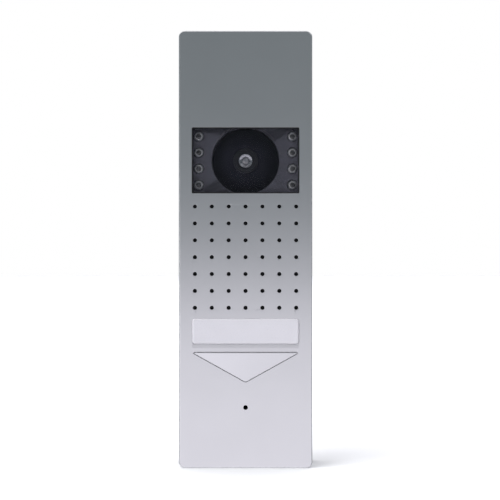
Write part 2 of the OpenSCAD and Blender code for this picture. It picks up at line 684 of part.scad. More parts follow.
module audio_board_screws() color([0.6, 0.6, 0.62]) upright()
    at(audio_bosses) rear_screw(1, 1.9, 1.4, audio_z[0], audio_z[1] + 6);

// Surface chips and the lead sockets on the board's back
module audio_chips() color([0.07, 0.07, 0.08]) upright() {
    for (c = [[0, -58, 9, 9], [-16, -50, 8, 5], [16, -50, 5, 6.4], [0, -84, 11, 7.6]])
        translate([c[0], c[1], 0]) slab(c[2], c[3], 0.2, audio_z[0] - 1.6, audio_z[0]);
    for (x = [-17, 17]) translate([x, -38, 0]) slab(10, 5, 0.3, audio_z[0] - 6, audio_z[0]);
}

module audio_capacitors() color([0.12, 0.13, 0.2]) upright()
    at([[-20, -62], [-20, -74], [20, -62], [20, -78]]) {
        rod(4, audio_z[0] - 9.4, audio_z[0] - 0.6);
        rod(3.4, audio_z[0] - 1, audio_z[0]);
    }

module trimmer(x) upright() translate([x, trimmer_y, 0]) difference() {
    slab(6.8, 7.2, 0.3, trimmer_z[0], trimmer_z[1]);
    rod(rotor_r + fit, 0, rotor_z[1] + 0.1);
}

module trimmer_rotor(x) upright() translate([x, trimmer_y, 0]) difference() {
    rod(rotor_r, rotor_z[0], rotor_z[1]);
    box([-1.9, -0.4, 0], [1.9, 0.4, rotor_z[0] + 0.8]);
}

module speaker_trimmer() color([0.1, 0.25, 0.55]) trimmer(-trimmer_x);
module speaker_trimmer_rotor() color([0.9, 0.9, 0.88]) trimmer_rotor(-trimmer_x);
module microphone_trimmer() color([0.1, 0.25, 0.55]) trimmer(trimmer_x);
module microphone_trimmer_rotor() color([0.9, 0.9, 0.88]) trimmer_rotor(trimmer_x);

// ---------------------------------------------------------------- terminal board

module terminal_board() color([0.08, 0.3, 0.16]) upright() difference() {
    box([-terminal_w / 2, terminal_y[0], terminal_z[0]], [terminal_w / 2, terminal_y[1], terminal_z[1]]);
    at(terminal_bosses) rod(1.2, 0, front_z);
}

module terminal_board_screws() color([0.6, 0.6, 0.62]) upright()
    at(terminal_bosses) rear_screw(1, 1.9, 1.4, terminal_z[0], terminal_z[1] + 5);

block_places = [for (i = [0:block_ways - 1]) (i - (block_ways - 1) / 2) * block_pitch];
block_screw_y = 94;

module terminal_block() color([0.1, 0.45, 0.25]) upright() difference() {
    box([-block_w / 2, block_y[0], block_bottom_z], [block_w / 2, block_y[1], terminal_z[0]]);
    for (x = block_places) {
        // A screw shaft from the back, and a wire port from below
        translate([x, block_screw_y, 0]) rod(2, 0, 11.2);
        box([x - 1.6, block_y[0] - cut, 9], [x + 1.6, block_screw_y, 12.6]);
    }
}

module terminal_screws() color([0.75, 0.72, 0.6]) upright() for (x = block_places)
    translate([x, block_screw_y, 0]) difference() {
        rod(1.8, 7, 8.8);
        box([-1.7, -0.35, 6], [1.7, 0.35, 7.8]);
    }

// Relay, capacitors and regulator on the front of the terminal board
module terminal_board_parts() color([0.1, 0.1, 0.11]) upright() {
    translate([-11, 92, 0]) slab(15.5, 10.5, 0.4, terminal_z[1], terminal_z[1] + 8.4);
    for (p = [[6, 92], [14, 92], [-14, 76], [-5, 76]]) translate([p[0], p[1], 0]) {
        rod(3.15, terminal_z[1] + 0.5, terminal_z[1] + 7.5);
        rod(2.7, terminal_z[1], terminal_z[1] + 1);
    }
    translate([8, 77, 0]) slab(9, 7, 0.3, terminal_z[1], terminal_z[1] + 2.4);
}

// ---------------------------------------------------------------- rear housing and bracket

module hook_space(grow, z0, z1) for (x = [-hook_x[1], hook_x[0]])
    box([x - 0.6 - grow, hook_slot_y[0] - grow, z0],
        [x + hook_x[1] - hook_x[0] + 0.6 + grow, hook_y + bracket_t + hook_rise + 0.4 + grow, z1]);

module rear_housing() color([0.13, 0.13, 0.14]) upright() difference() {
    union() {
        difference() {
            slab(rear_w, rear_h, rear_r, 0, rear_top_z);
            slab(rear_w - 2 * rear_wall, rear_h - 2 * rear_wall, 0.6, back_in_z, rear_top_z + cut);
            slab(rear_w - 2 * rear_wall, rear_h - 2 * rear_wall, 0.6, -cut, back_out_z);
        }
        at(posts) rod(column_r, back_out_z, rear_top_z);
        hook_space(pocket_wall, back_out_z, hook_z[1] + 0.4 + pocket_wall);
        box([-lock_pocket_x - pocket_wall, 1 - rear_h / 2, back_out_z],
            [lock_pocket_x + pocket_wall, lock_pocket_y[1] + pocket_wall, lock_pocket_top_z + pocket_wall]);
        // Walls of the well round the terminal block
        box([-well_x - well_wall, well_y[0] - well_wall, back_out_z],
            [well_x + well_wall, well_y[1] + well_wall, terminal_z[0]]);
    }
    box([-well_x, well_y[0], -cut], [well_x, well_y[1], terminal_z[0] + cut]);
    // Hooks enter through a slot, then rise behind the back wall
    hook_space(0, back_in_z, hook_z[1] + 0.4);
    for (x = [-hook_x[1], hook_x[0]])
        box([x - 0.6, hook_slot_y[0], 0], [x + hook_x[1] - hook_x[0] + 0.6, hook_slot_y[1], back_in_z + 0.1]);
    // Lock pocket, and the screw's way in from below
    box([-lock_pocket_x, lock_pocket_y[0], 0], [lock_pocket_x, lock_pocket_y[1], lock_pocket_top_z]);
    translate([0, -rear_h / 2, lock_z]) rotate([-90, 0, 0]) {
        rod(lock_head_r + 0.3, -cut, 2.2);
        rod(lock_r + 0.2, -cut, 8);
    }
    at(posts) {
        rod(1.5, 0, front_z);
        rod(3, 0, screw_seat_z);
    }
    at([[-trimmer_x, trimmer_y], [trimmer_x, trimmer_y]]) rod(plug_r + fit, 0, back_in_z + cut);
}

module housing_seal() color([0.03, 0.03, 0.03]) upright() difference() {
    slab(rear_w - 0.2, rear_h - 0.2, rear_r, rear_top_z, split_z);
    slab(rear_w - 5, rear_h - 5, 0.8, rear_top_z - cut, split_z + cut);
}

module housing_screws() color([0.6, 0.6, 0.62]) upright()
    at(posts) rear_screw(1.25, 2.6, 2, screw_seat_z, 23);

module adjustment_plugs() color([0.05, 0.05, 0.05]) upright()
    at([[-trimmer_x, trimmer_y], [trimmer_x, trimmer_y]]) {
        rod(4, back_out_z - 0.9, back_out_z);
        rod(plug_r, back_out_z - 0.5, back_in_z + 1);
    }

bracket_holes = [for (x = [-1, 1]) for (y = [-1, 1])
    [x * bracket_hole_dx / 2, bracket_middle_y + y * bracket_hole_dy / 2]];

module box_slot(y) translate([0, y, 0]) {
    reach = 8 / 2 - bracket_hole_d / 2;
    box([-bracket_hole_d / 2, -reach, -cut], [bracket_hole_d / 2, reach, bracket_t + cut]);
    for (s = [-1, 1]) translate([0, s * reach, 0]) rod(bracket_hole_d / 2, -cut, bracket_t + cut);
}

module wall_bracket() color([0.66, 0.67, 0.68]) upright() difference() {
    union() {
        translate([0, (bracket_y[0] + bracket_y[1]) / 2, 0])
            slab(2 * bracket_x, bracket_y[1] - bracket_y[0], 3, 0, bracket_t);
        // Two hooks bent forwards and up near the top edge
        for (x = [-hook_x[1], hook_x[0]]) {
            box([x, hook_y, 0], [x + hook_x[1] - hook_x[0], hook_y + bracket_t, hook_z[1]]);
            box([x, hook_y, hook_z[0]],
                [x + hook_x[1] - hook_x[0], hook_y + bracket_t + hook_rise, hook_z[1]]);
        }
        // The lock tab at the bottom edge
        box([-tab_x, bracket_y[0], 0], [tab_x, bracket_y[0] + bracket_t, tab_top_z]);
    }
    at(bracket_holes) rod(bracket_hole_d / 2, -cut, bracket_t + cut);
    for (s = [-1, 1]) box_slot(bracket_middle_y + s * box_slot_dy / 2);
    // The window over a flush box, where its cable comes out
    translate([0, bracket_middle_y, 0]) slab(cable_window[0], cable_window[1], 2, -cut, bracket_t + cut);
    translate([0, bracket_y[0] - cut, lock_z]) rotate([-90, 0, 0]) rod(lock_r + fit, 0, 4);
}

module locking_screw() color([0.7, 0.7, 0.72]) upright() translate([0, -rear_h / 2, lock_z])
    rotate([-90, 0, 0]) difference() {
        union() {
            rod(lock_head_r, 0.3, 2.2);
            rod(lock_r, 2, 12.4);
        }
        cylinder(r = 1.2, h = 1.6, $fn = 6);
    }

// ---------------------------------------------------------------- nodes

front_plate();
chassis();
window_gasket();
camera_window();
lamp_bezel();
infrared_lamps();
lamp_boards();
camera_carrier();
carrier_screws();
camera_ball();
lens_barrel();
lens_glass();
lens_holder();
image_sensor();
camera_board();
camera_board_screws();
camera_plug();
camera_cable();
speaker_mesh();
speaker_gasket();
speaker_basket();
speaker_cone();
voice_coil();
speaker_magnet();
speaker_yoke();
speaker_clips();
speaker_screws();
speaker_and_lamp_leads();
board_cable();
name_window();
name_card();
light_guide();
light_box();
backlight_lamps();
call_button();
button_guide();
button_springs();
call_switch();
switch_plunger();
microphone();
microphone_boot();
audio_board();
audio_board_screws();
audio_chips();
audio_capacitors();
speaker_trimmer();
speaker_trimmer_rotor();
microphone_trimmer();
microphone_trimmer_rotor();
terminal_board();
terminal_board_screws();
terminal_block();
terminal_screws();
terminal_board_parts();
rear_housing();
housing_seal();
housing_screws();
adjustment_plugs();
wall_bracket();
locking_screw();
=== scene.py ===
import json
import math

import bmesh
import bpy
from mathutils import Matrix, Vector

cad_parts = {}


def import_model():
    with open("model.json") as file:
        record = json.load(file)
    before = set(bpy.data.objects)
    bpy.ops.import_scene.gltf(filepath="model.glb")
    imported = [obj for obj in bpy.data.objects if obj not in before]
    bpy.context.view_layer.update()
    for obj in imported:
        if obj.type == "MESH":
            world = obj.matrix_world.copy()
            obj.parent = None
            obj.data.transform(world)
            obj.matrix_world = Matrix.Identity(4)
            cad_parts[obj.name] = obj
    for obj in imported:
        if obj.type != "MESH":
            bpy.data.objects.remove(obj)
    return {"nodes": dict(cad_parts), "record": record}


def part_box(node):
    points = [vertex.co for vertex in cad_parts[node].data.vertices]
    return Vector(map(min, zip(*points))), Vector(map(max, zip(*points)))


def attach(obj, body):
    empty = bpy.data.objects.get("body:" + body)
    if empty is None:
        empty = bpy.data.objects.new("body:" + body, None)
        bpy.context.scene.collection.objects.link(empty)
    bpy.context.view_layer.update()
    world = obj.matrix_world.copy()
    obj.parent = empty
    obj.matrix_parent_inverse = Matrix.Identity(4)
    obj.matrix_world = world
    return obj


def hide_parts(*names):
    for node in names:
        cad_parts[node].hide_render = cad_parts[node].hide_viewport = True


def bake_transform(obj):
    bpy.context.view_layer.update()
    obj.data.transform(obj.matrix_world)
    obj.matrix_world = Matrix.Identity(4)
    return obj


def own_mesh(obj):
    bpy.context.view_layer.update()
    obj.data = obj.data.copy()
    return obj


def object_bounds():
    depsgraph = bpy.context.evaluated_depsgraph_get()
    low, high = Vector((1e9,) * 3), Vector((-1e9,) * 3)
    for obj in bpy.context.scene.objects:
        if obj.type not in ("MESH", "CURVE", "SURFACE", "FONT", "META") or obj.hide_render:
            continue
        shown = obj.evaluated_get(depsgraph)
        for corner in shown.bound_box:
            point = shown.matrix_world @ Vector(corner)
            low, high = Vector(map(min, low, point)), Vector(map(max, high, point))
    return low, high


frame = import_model()
cad_low, cad_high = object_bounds()

# Pieces are built in the panel's own millimetres: x across, y up, z out of the wall.
# to_frame() turns them into the frame's metres, where the wall is the plane y = 0.
MM = 0.001


def to_frame(p):
    """A point in the panel, as a point in the frame."""
    return Vector((p[0], -p[2], p[1])) * MM


def extent(node):
    """A CAD node's lowest and highest corner, in the panel's millimetres."""
    low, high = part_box(node)
    return (
        Vector((low.x, low.z, -high.y)) / MM,
        Vector((high.x, high.z, -low.y)) / MM,
    )


# ------------------------------------------------------------------ sizes, from the CAD nodes

plate_low, plate_high = extent("front_plate")
body_w = plate_high.x - plate_low.x
body_h = plate_high.y - plate_low.y
front_z = plate_high.z
split_z = plate_low.z
fascia_t = 2.0
fascia_back_z = front_z - fascia_t
fascia_wall = 1.6
corner_r = 3.0
fascia_ease = 0.8

gasket_low, gasket_high = extent("window_gasket")
camera_y = (gasket_low.y + gasket_high.y) / 2
window_flange = 1.4  # how far the parts behind the window reach beyond it
window_w = gasket_high.x - gasket_low.x - 2 * window_flange
window_h = gasket_high.y - gasket_low.y - 2 * window_flange
window_r = 0.6
pane_low, pane_high = extent("camera_window")
bezel_low, bezel_high = extent("lamp_bezel")
iris_r = 16.7
skirt_wall = 1.2
bezel_flange_z = front_z - 5.4
lamp_x = 23.2
lamp_pitch = 8.0
lamp_r = 2.5
lamp_low, lamp_high = extent("infrared_lamps")
lamp_base_z = lamp_high.z - 8.6

pivot_z = 10.0
ball_r = 19.0
ball_wall = 1.5
ball_rim_z = 15.3
lens_low, lens_high = extent("lens_barrel")
lens_r = (lens_high.x - lens_low.x) / 2
glass_r = 3.4

speaker_low, speaker_high = extent("speaker_mesh")
speaker_y = (speaker_low.y + speaker_high.y) / 2
grille_n = 7
grille_pitch = 8.34
grille_r = 1.0

name_low, name_high = extent("name_window")
name_y = (name_low.y + name_high.y) / 2
name_w = 52.6
name_h = 12.5
name_r = 1.4
name_gap = 0.2
card_low, card_high = extent("name_card")

button_low, button_high = extent("call_button")
button_flange = 1.0
button_y = button_high.y - button_flange
button_h = 14.2
button_half_w = 25.4
button_gap = 0.4

mic_low, mic_high = extent("microphone")
mic_y = (mic_low.y + mic_high.y) / 2
mic_r = 1.1

rear_low, rear_high = extent("rear_housing")
seal_low, seal_high = extent("housing_seal")
bracket_low, bracket_high = extent("wall_bracket")


# ------------------------------------------------------------------ outlines

# An outline is a function of how far it is grown, so that edges can be eased by rings of it.


def rounded(w, h, r, centre=(0.0, 0.0), steps=8):
    """A rectangle with rounded corners."""

    def loop(grow=0.0):
        radius = max(r + grow, 0.02)
        half_w = w / 2 + grow - radius
        half_h = h / 2 + grow - radius
        points = []
        for quarter, (sx, sy) in enumerate([(1, 1), (-1, 1), (-1, -1), (1, -1)]):
            for k in range(steps + 1):
                a = math.radians(90 * (quarter + k / steps))
                points.append((centre[0] + sx * half_w + radius * math.cos(a),
                               centre[1] + sy * half_h + radius * math.sin(a)))
        return points

    return loop


def circle(r, centre=(0.0, 0.0), steps=32):
    """A circle, or a regular polygon where there are few steps."""

    def loop(grow=0.0):
        turns = [math.tau * k / steps for k in range(steps)]
        return [(centre[0] + (r + grow) * math.cos(a), centre[1] + (r + grow) * math.sin(a))
                for a in turns]

    return loop


def between(low, high, r, wall=0.0, steps=8):
    """The rounded rectangle between two corners, with a wall's thickness added all round."""
    centre = ((low[0] + high[0]) / 2, (low[1] + high[1]) / 2)
    return rounded(high[0] - low[0] + 2 * wall, high[1] - low[1] + 2 * wall, r, centre, steps)


def window_outline(reach, r):
    """The camera window's rectangle, larger by how far a part reaches beyond it."""
    return rounded(window_w + 2 * reach, window_h + 2 * reach, r, (0, camera_y))


def fixed(points):
    """An outline that is only used at its own size, for parts without eased edges."""
    return lambda grow=0.0: points


def slot(w, h, centre, steps=12):
    """A slot with round ends that runs up the panel."""
    return rounded(w, h, w / 2, centre, steps)


def triangle(grow=0.0, steps=10):
    """The call button's outline: two pointed upper corners and a rounder lower one."""
    small, apex = 0.2, 1.6
    reach = button_half_w - small
    corners = [((-reach, button_y - small), small), ((0.0, button_y - button_h + apex), apex),
               ((reach, button_y - small), small)]
    normals = []
    for i, (c, r) in enumerate(corners):
        d, q = corners[(i + 1) % 3]
        side = Vector(d) - Vector(c)
        normals.append(math.atan2(side.y, side.x) - math.acos((r - q) / side.length))
    points = []
    for i, (c, r) in enumerate(corners):
        start = normals[i - 1]
        turn = (normals[i] - start) % math.tau
        for k in range(steps + 1):
            a = start + turn * k / steps
            points.append((c[0] + (r + grow) * math.cos(a), c[1] + (r + grow) * math.sin(a)))
    return points


# ------------------------------------------------------------------ mesh building

OUTLINE, HOLE = -1, 1


def eased(level, ease, side, front=True, steps=3):
    """Rings round an edge, from the wall to the face at a level: (grow, level, wear)."""
    if ease == 0:
        return [(0.0, level, 0.0)]
    toward = 1 if front else -1
    rings = []
    for k in range(steps + 1):
        a = math.pi / 2 * k / steps
        rings.append((side * ease * (1 - math.cos(a)), level - toward * ease * (1 - math.sin(a)),
                      math.sin(2 * a)))
    return rings


def through(low, high, ease_low, ease_high, side, steps=3):
    """Rings of a wall between two faces, with both of its edges eased."""
    back = eased(low, ease_low, side, False, steps)
    return back[::-1] + eased(high, ease_high, side, True, steps)


# Where an outline's two directions and its levels point: levels run out of the wall, across, or up


def face_up(u, v, w):
    return (u, v, w)


def face_side(u, v, w):
    return (w, u, v)


def face_down(u, v, w):
    return (u, w, v)


SHARP = math.radians(35)


def bevel(obj, width):
    """Eases the sharp edges of an object."""
    step = obj.modifiers.new("eased edges", "BEVEL")
    step.width = width * MM
    step.segments = 2
    step.limit_method = "ANGLE"
    step.angle_limit = math.radians(50)


def weighted_normals(obj, weight):
    """Keeps the shading of flat faces flat beside their eased edges."""
    step = obj.modifiers.new("weighted normals", "WEIGHTED_NORMAL")
    step.keep_sharp = True
    step.weight = weight


class Shell:
    """A closed mesh made of rings of points and the faces between them."""

    def __init__(self):
        self.bm = bmesh.new()
        # Each vertex's wear value is edge wear on most pieces, and the ring of painted highlight on the lamp
        # domes.
        self.wear = self.bm.verts.layers.float.new("wear")

    def ring(self, points, wear=0.0):
        """New vertices at these points of the panel."""
        verts = [self.bm.verts.new(to_frame(p)) for p in points]
        for v in verts:
            v[self.wear] = wear
        return verts

    def bridge(self, a, b):
        """Faces between two rings, either of which may be a single point."""
        n = max(len(a), len(b))
        for i in range(n):
            j = (i + 1) % n
            corners = [a[i % len(a)], a[j % len(a)], b[j % len(b)], b[i % len(b)]]
            unique = list(dict.fromkeys(corners))
            self.bm.faces.new(unique)

    def walls(self, loop, levels, place=face_up):
        """Rings of an outline at some levels, joined by faces; returns the first and last ring."""
        rings = [self.ring([place(u, v, w) for u, v in loop(grow)], wear) for grow, w, wear in levels]
        for a, b in zip(rings, rings[1:]):
            self.bridge(a, b)
        return rings[0], rings[-1]

    def cap(self, rings):
        """A flat face inside the first ring and outside the others."""
        edges = []
        for ring in rings:
            for i, v in enumerate(ring):
                edges.append(self.bm.edges.get((ring[i - 1], v)) or self.bm.edges.new((ring[i - 1], v)))
        bmesh.ops.triangle_fill(self.bm, use_beauty=True, use_dissolve=False, edges=edges)

    def solid(self, outline, levels):
        """Walls round an outline through some levels, closed at both ends."""
        for end in self.walls(outline, levels):
            self.cap([end])

    def slab(self, outline, low, high, ease=0.1, holes=(), place=face_up, ease_low=None, steps=3):
        """A flat piece with eased edges, and holes that go right through it."""
        ease_low = ease if ease_low is None else ease_low
        ends = [self.walls(outline, through(low, high, ease_low, ease, OUTLINE, steps), place)]
        for hole in holes:
            ends.append(self.walls(hole, through(low, high, ease_low, ease, HOLE, steps), place))
        self.cap([first for first, last in ends])
        self.cap([last for first, last in ends])

    def tube(self, path, r, sides=14):
        """A round wire or cable along a path."""
        points = [Vector(p) for p in path]
        count = len(points)
        across = Vector((1, 0.13, 0.07))
        rings = []
        for i, p in enumerate(points):
            along = (points[min(i + 1, count - 1)] - points[max(i - 1, 0)]).normalized()
            across = (across - across.dot(along) * along).normalized()
            up = along.cross(across)
            turns = [math.tau * k / sides for k in range(sides)]
            rings.append(self.ring([p + r * (math.cos(a) * across + math.sin(a) * up) for a in turns]))
        for a, b in zip(rings, rings[1:]):
            self.bridge(a, b)
        self.bm.faces.new(rings[0])
        self.bm.faces.new(rings[-1])

    def lathe(self, profile, place, steps=48, closed=False):
        """A profile of (radius, height, wear) turned about an axis that place() puts in the panel."""
        rings = []
        for r, h, wear in profile:
            if r < 1e-6:
                rings.append(self.ring([place(0, 0, h)], wear))
                continue
            turns = [math.tau * k / steps for k in range(steps)]
            rings.append(self.ring([place(r * math.cos(a), r * math.sin(a), h) for a in turns], wear))
        for a, b in zip(rings, rings[1:]):
            self.bridge(a, b)
        if closed:
            self.bridge(rings[-1], rings[0])

    def box(self, low, high, ease=0.15):
        """A box with all its edges eased."""
        made = bmesh.ops.create_cube(self.bm, size=1.0)["verts"]
        low, high = Vector(low), Vector(high)
        for v in made:
            corner = [low[i] if v.co[i] < 0 else high[i] for i in range(3)]
            v.co = to_frame(corner)
        edges = list(dict.fromkeys(e for v in made for e in v.link_edges))
        bmesh.ops.bevel(self.bm, geom=edges, offset=ease * MM, segments=2, profile=0.5,
                        affect="EDGES", clamp_overlap=True)

    def mesh(self, sharp=SHARP):
        """The finished mesh, shaded smooth up to an angle."""
        bmesh.ops.recalc_face_normals(self.bm, faces=self.bm.faces)
        mesh = bpy.data.meshes.new("shell")
        self.bm.to_mesh(mesh)
        self.bm.free()
        mesh.shade_smooth()
        mesh.set_sharp_from_angle(angle=sharp)
        return mesh


# Where a lathe's axis runs in the panel


def along_z(x, y):
    return lambda u, v, w: (x + u, y + v, w)


def along_x(y, z):
    return lambda u, v, w: (w, y + u, z + v)


def along_y(x, z):
    return lambda u, v, w: (x + u, w, z + v)


def arc(centre, r, start, end, steps=6, wear=0.0):
    """Profile points round part of a circle, in degrees."""
    points = []
    for k in range(steps + 1):
        a = math.radians(start + (end - start) * k / steps)
        points.append((centre[0] + r * math.cos(a), centre[1] + r * math.sin(a), wear))
    return points


def plain(*points):
    """Profile points with no wear."""
    return [(r, h, 0.0) for r, h in points]


def placed(name, data):
    """A new object in the scene with this mesh, light or camera."""
    obj = bpy.data.objects.new(name, data)
    bpy.context.scene.collection.objects.link(obj)
    return obj


def piece(name, shape, slot_name, stands_for=(), body="panel", look=None):
    """Puts a shell, or a finished mesh, in the scene as a piece of the object."""
    mesh = shape.mesh() if isinstance(shape, Shell) else shape
    mesh.name = name
    mesh.materials.clear()
    mesh.materials.append(looks[look or slot_name])
    obj = placed(name, mesh)
    weighted_normals(obj, 100)
    if body:
        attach(obj, body)
    if stands_for:
        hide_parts(*stands_for)
    return obj


def carved(base, steps, ease=0.15):
    """The mesh of a shell after others are joined to it or cut from it, with its edges eased."""
    target = placed("base", base.mesh())
    tools = []
    for operation, shell in steps:
        tools.append(placed("tool", shell.mesh()))
        step = target.modifiers.new("step", "BOOLEAN")
        step.operation = operation
        step.solver = "EXACT"
        step.object = tools[-1]
    if ease:
        bevel(target, ease)
    graph = bpy.context.evaluated_depsgraph_get()
    mesh = bpy.data.meshes.new_from_object(target.evaluated_get(graph))
    mesh.shade_smooth()
    mesh.set_sharp_from_angle(angle=SHARP)
    for obj in [target, *tools]:
        bpy.data.objects.remove(obj)
    return mesh


# ------------------------------------------------------------------ materials


class Nodes:
    """A short way to write a node tree."""

    def __init__(self, owner):
        owner.use_nodes = True
        self.owner = owner
        self.tree = owner.node_tree
        self.tree.nodes.clear()

    def put(self, value, socket):
        """Gives an input a value, or links it to another node's output."""
        if isinstance(value, bpy.types.NodeSocket):
            self.tree.links.new(value, socket)
        elif socket.type == "RGBA":
            socket.default_value = (*value[:3], 1.0)
        else:
            socket.default_value = value

    def set(self, node, **inputs):
        """Sets a node's inputs by their names, with an underscore for each space."""
        for name, value in inputs.items():
            self.put(value, node.inputs[name.replace("_", " ")])

    def node(self, kind, **inputs):
        """A new shader node of a kind, with some of its inputs set."""
        made = self.tree.nodes.new("ShaderNode" + kind)
        self.set(made, **inputs)
        return made

    def mix(self, share, a, b):
        """Colour a where share is 0 and b where it is 1; each is a colour or a socket."""
        node = self.node("Mix")
        node.data_type = "RGBA"
        self.put(share, node.inputs["Factor"])
        for value, socket in zip((a, b), [s for s in node.inputs if s.type == "RGBA"]):
            self.put(value, socket)
        return [s for s in node.outputs if s.type == "RGBA"][0]


BANDS_PER_UNIT = 3.18  # in a wave texture whose scale is 1


class Look(Nodes):
    """A material's nodes: one principled shader, and textures that stay with the object."""

    def __init__(self):
        super().__init__(bpy.data.materials.new("look"))
        self.shader = self.node("BsdfPrincipled")
        self.node("OutputMaterial", Surface=self.shader.outputs[0])
        self.place = self.node("TexCoord").outputs["Object"]

    def noise(self, size_mm, detail=3.0, stretch=None):
        """Noise whose grains are about size_mm across; stretch scales x, y and z apart."""
        place = self.place
        if stretch:
            place = self.node("Mapping", Vector=place, Scale=stretch).outputs[0]
        return self.node("TexNoise", Vector=place, Scale=1 / (size_mm * MM), Detail=detail).outputs["Fac"]

    def wave(self, size_mm, direction):
        """Bands that are size_mm apart."""
        node = self.node("TexWave", Vector=self.place, Scale=1 / (size_mm * MM) / BANDS_PER_UNIT)
        node.bands_direction = direction
        return node.outputs["Fac"]

    def spread(self, value, low, high, start=0.3, end=0.7):
        """Turns the range from start to end into the range from low to high."""
        node = self.node("MapRange", Value=value, From_Min=start, From_Max=end, To_Min=low, To_Max=high)
        return node.outputs[0]

    def math(self, operation, a, b):
        """The result of a sum on two numbers or sockets."""
        node = self.node("Math")
        node.operation = operation
        for value, socket in zip((a, b), node.inputs):
            self.put(value, socket)
        return node.outputs[0]

    def wear(self):
        """How worn each vertex is, as its shell was built; on the lamp domes it marks the ring that gets a
        painted highlight.
        """
        node = self.node("Attribute")
        node.attribute_name = "wear"
        return node.outputs["Fac"]

    def finish(self, colour, rough, height, depth_mm, **inputs):
        """Sets the shader's colour, roughness, relief and other inputs, and returns the material."""
        bump = self.node("Bump", Height=height, Distance=depth_mm * MM, Strength=1.0)
        self.set(self.shader, Base_Color=colour, Roughness=rough, Normal=bump.outputs[0], **inputs)
        return self.owner


def scaled(colour, k):
    """A colour made lighter or darker."""
    return tuple(min(1.0, c * k) for c in colour[:3])


def surface(colour, rough, metallic=0.0, grain=0.01, grain_size=0.25, mottle=0.05, mottle_size=9.0,
            rough_spread=0.05, wear=1.3, streak=None, **inputs):
    """The usual build-up: mottled colour, worn edges, uneven roughness and a fine grain.

    wear is how much lighter the eased edges are; streak stretches the grain into lines."""
    n = Look()
    cloud = n.spread(n.noise(mottle_size), 0.0, 1.0)
    base = n.mix(cloud, scaled(colour, 1 - mottle), scaled(colour, 1 + mottle))
    rub = n.math("MULTIPLY", n.wear(), n.spread(n.noise(1.1, 5.0), 0.0, 0.8, 0.35, 0.65))
    base = n.mix(rub, base, scaled(colour, wear))
    fine = n.noise(grain_size, 4.0, streak)
    uneven = n.spread(fine, rough - rough_spread, rough + rough_spread)
    return n.finish(base, uneven, fine, grain, Metallic=metallic, **inputs)


def weave(colour, thread_mm):
    """Plain-woven cloth: two sets of threads that pass over and under each other, with painted shade where
    they dip and painted light where they cross on top.
    """
    n = Look()
    cloth = n.math("MULTIPLY", n.wave(thread_mm, "X"), n.wave(thread_mm, "Z"))
    fuzz = n.noise(0.08, 4.0)
    height = n.math("ADD", cloth, n.math("MULTIPLY", fuzz, 0.3))
    # Painted shade and light: lit and shaded copies of the cloth's colour, by the height of the threads.
    shade = n.mix(cloth, scaled(colour, 0.5), scaled(colour, 1.6))
    return n.finish(shade, n.spread(fuzz, 0.8, 0.95), height, 0.08, Sheen_Weight=0.2)


def circuit_board(colour):
    """Solder mask over copper tracks, which show as a lighter, raised pattern, with tinned vias."""
    n = Look()
    flat = n.node("Mapping", Vector=n.place, Rotation=(math.radians(90), 0, 0))
    tracks = n.node("TexBrick", Vector=flat.outputs[0], Scale=1 / MM, Brick_Width=9.0, Row_Height=1.27,
                    Mortar_Size=0.13, Color1=(0, 0, 0), Color2=(0.3, 0.3, 0.3), Mortar=(1, 1, 1))
    tracks.offset = 0.37
    tracks.offset_frequency = 3
    tracks.squash = 0.6
    tracks.squash_frequency = 4
    raised = tracks.outputs["Color"]
    vias = n.node("TexVoronoi", Vector=n.place, Scale=1 / (4.2 * MM))
    tin = n.spread(vias.outputs["Distance"], 1.0, 0.0, 0.07, 0.09)
    mask = n.mix(n.spread(n.noise(4.0), 0.0, 1.0), scaled(colour, 0.9), scaled(colour, 1.1))
    mask = n.mix(n.spread(raised, 0.0, 1.0, 0.2, 1.0), mask, scaled(colour, 1.45))
    return n.finish(n.mix(tin, mask, (0.42, 0.42, 0.38)), n.spread(n.noise(0.4), 0.28, 0.4), raised, 0.02)


def paper(colour):
    """Smooth white card with faint fibres."""
    n = Look()
    fibre = n.noise(0.35, 6.0, (1, 1, 0.3))
    shade = n.mix(n.spread(fibre, 0, 1), scaled(colour, 0.96), scaled(colour, 1.03))
    return n.finish(shade, n.spread(fibre, 0.55, 0.7), fibre, 0.01)


def lamp_resin(middle, rim):
    """Clear resin, dark in the middle of its dome, with a painted highlight round the edge that stands in for
    light the resin catches.
    """
    n = Look()
    # The ring marked in the wear attribute is painted pale: a painted highlight, not wear.
    share = n.math("MULTIPLY", n.wear(), n.spread(n.noise(0.9, 4.0), 0.75, 1.0))
    rough = n.spread(n.noise(0.5), 0.16, 0.3)
    return n.finish(n.mix(share, middle, rim), rough, n.noise(0.7), 0.01, Alpha=0.9, IOR=1.53)


def winding(colour):
    """Fine enamelled wire, wound in even turns, with painted shade between the turns."""
    n = Look()
    turns = n.wave(0.16, "Y")
    # Painted shade: darker between the turns, lighter on top of each.
    shade = n.mix(turns, scaled(colour, 0.45), scaled(colour, 1.2))
    return n.finish(shade, n.spread(n.noise(0.2), 0.25, 0.4), turns, 0.06, Metallic=0.8)


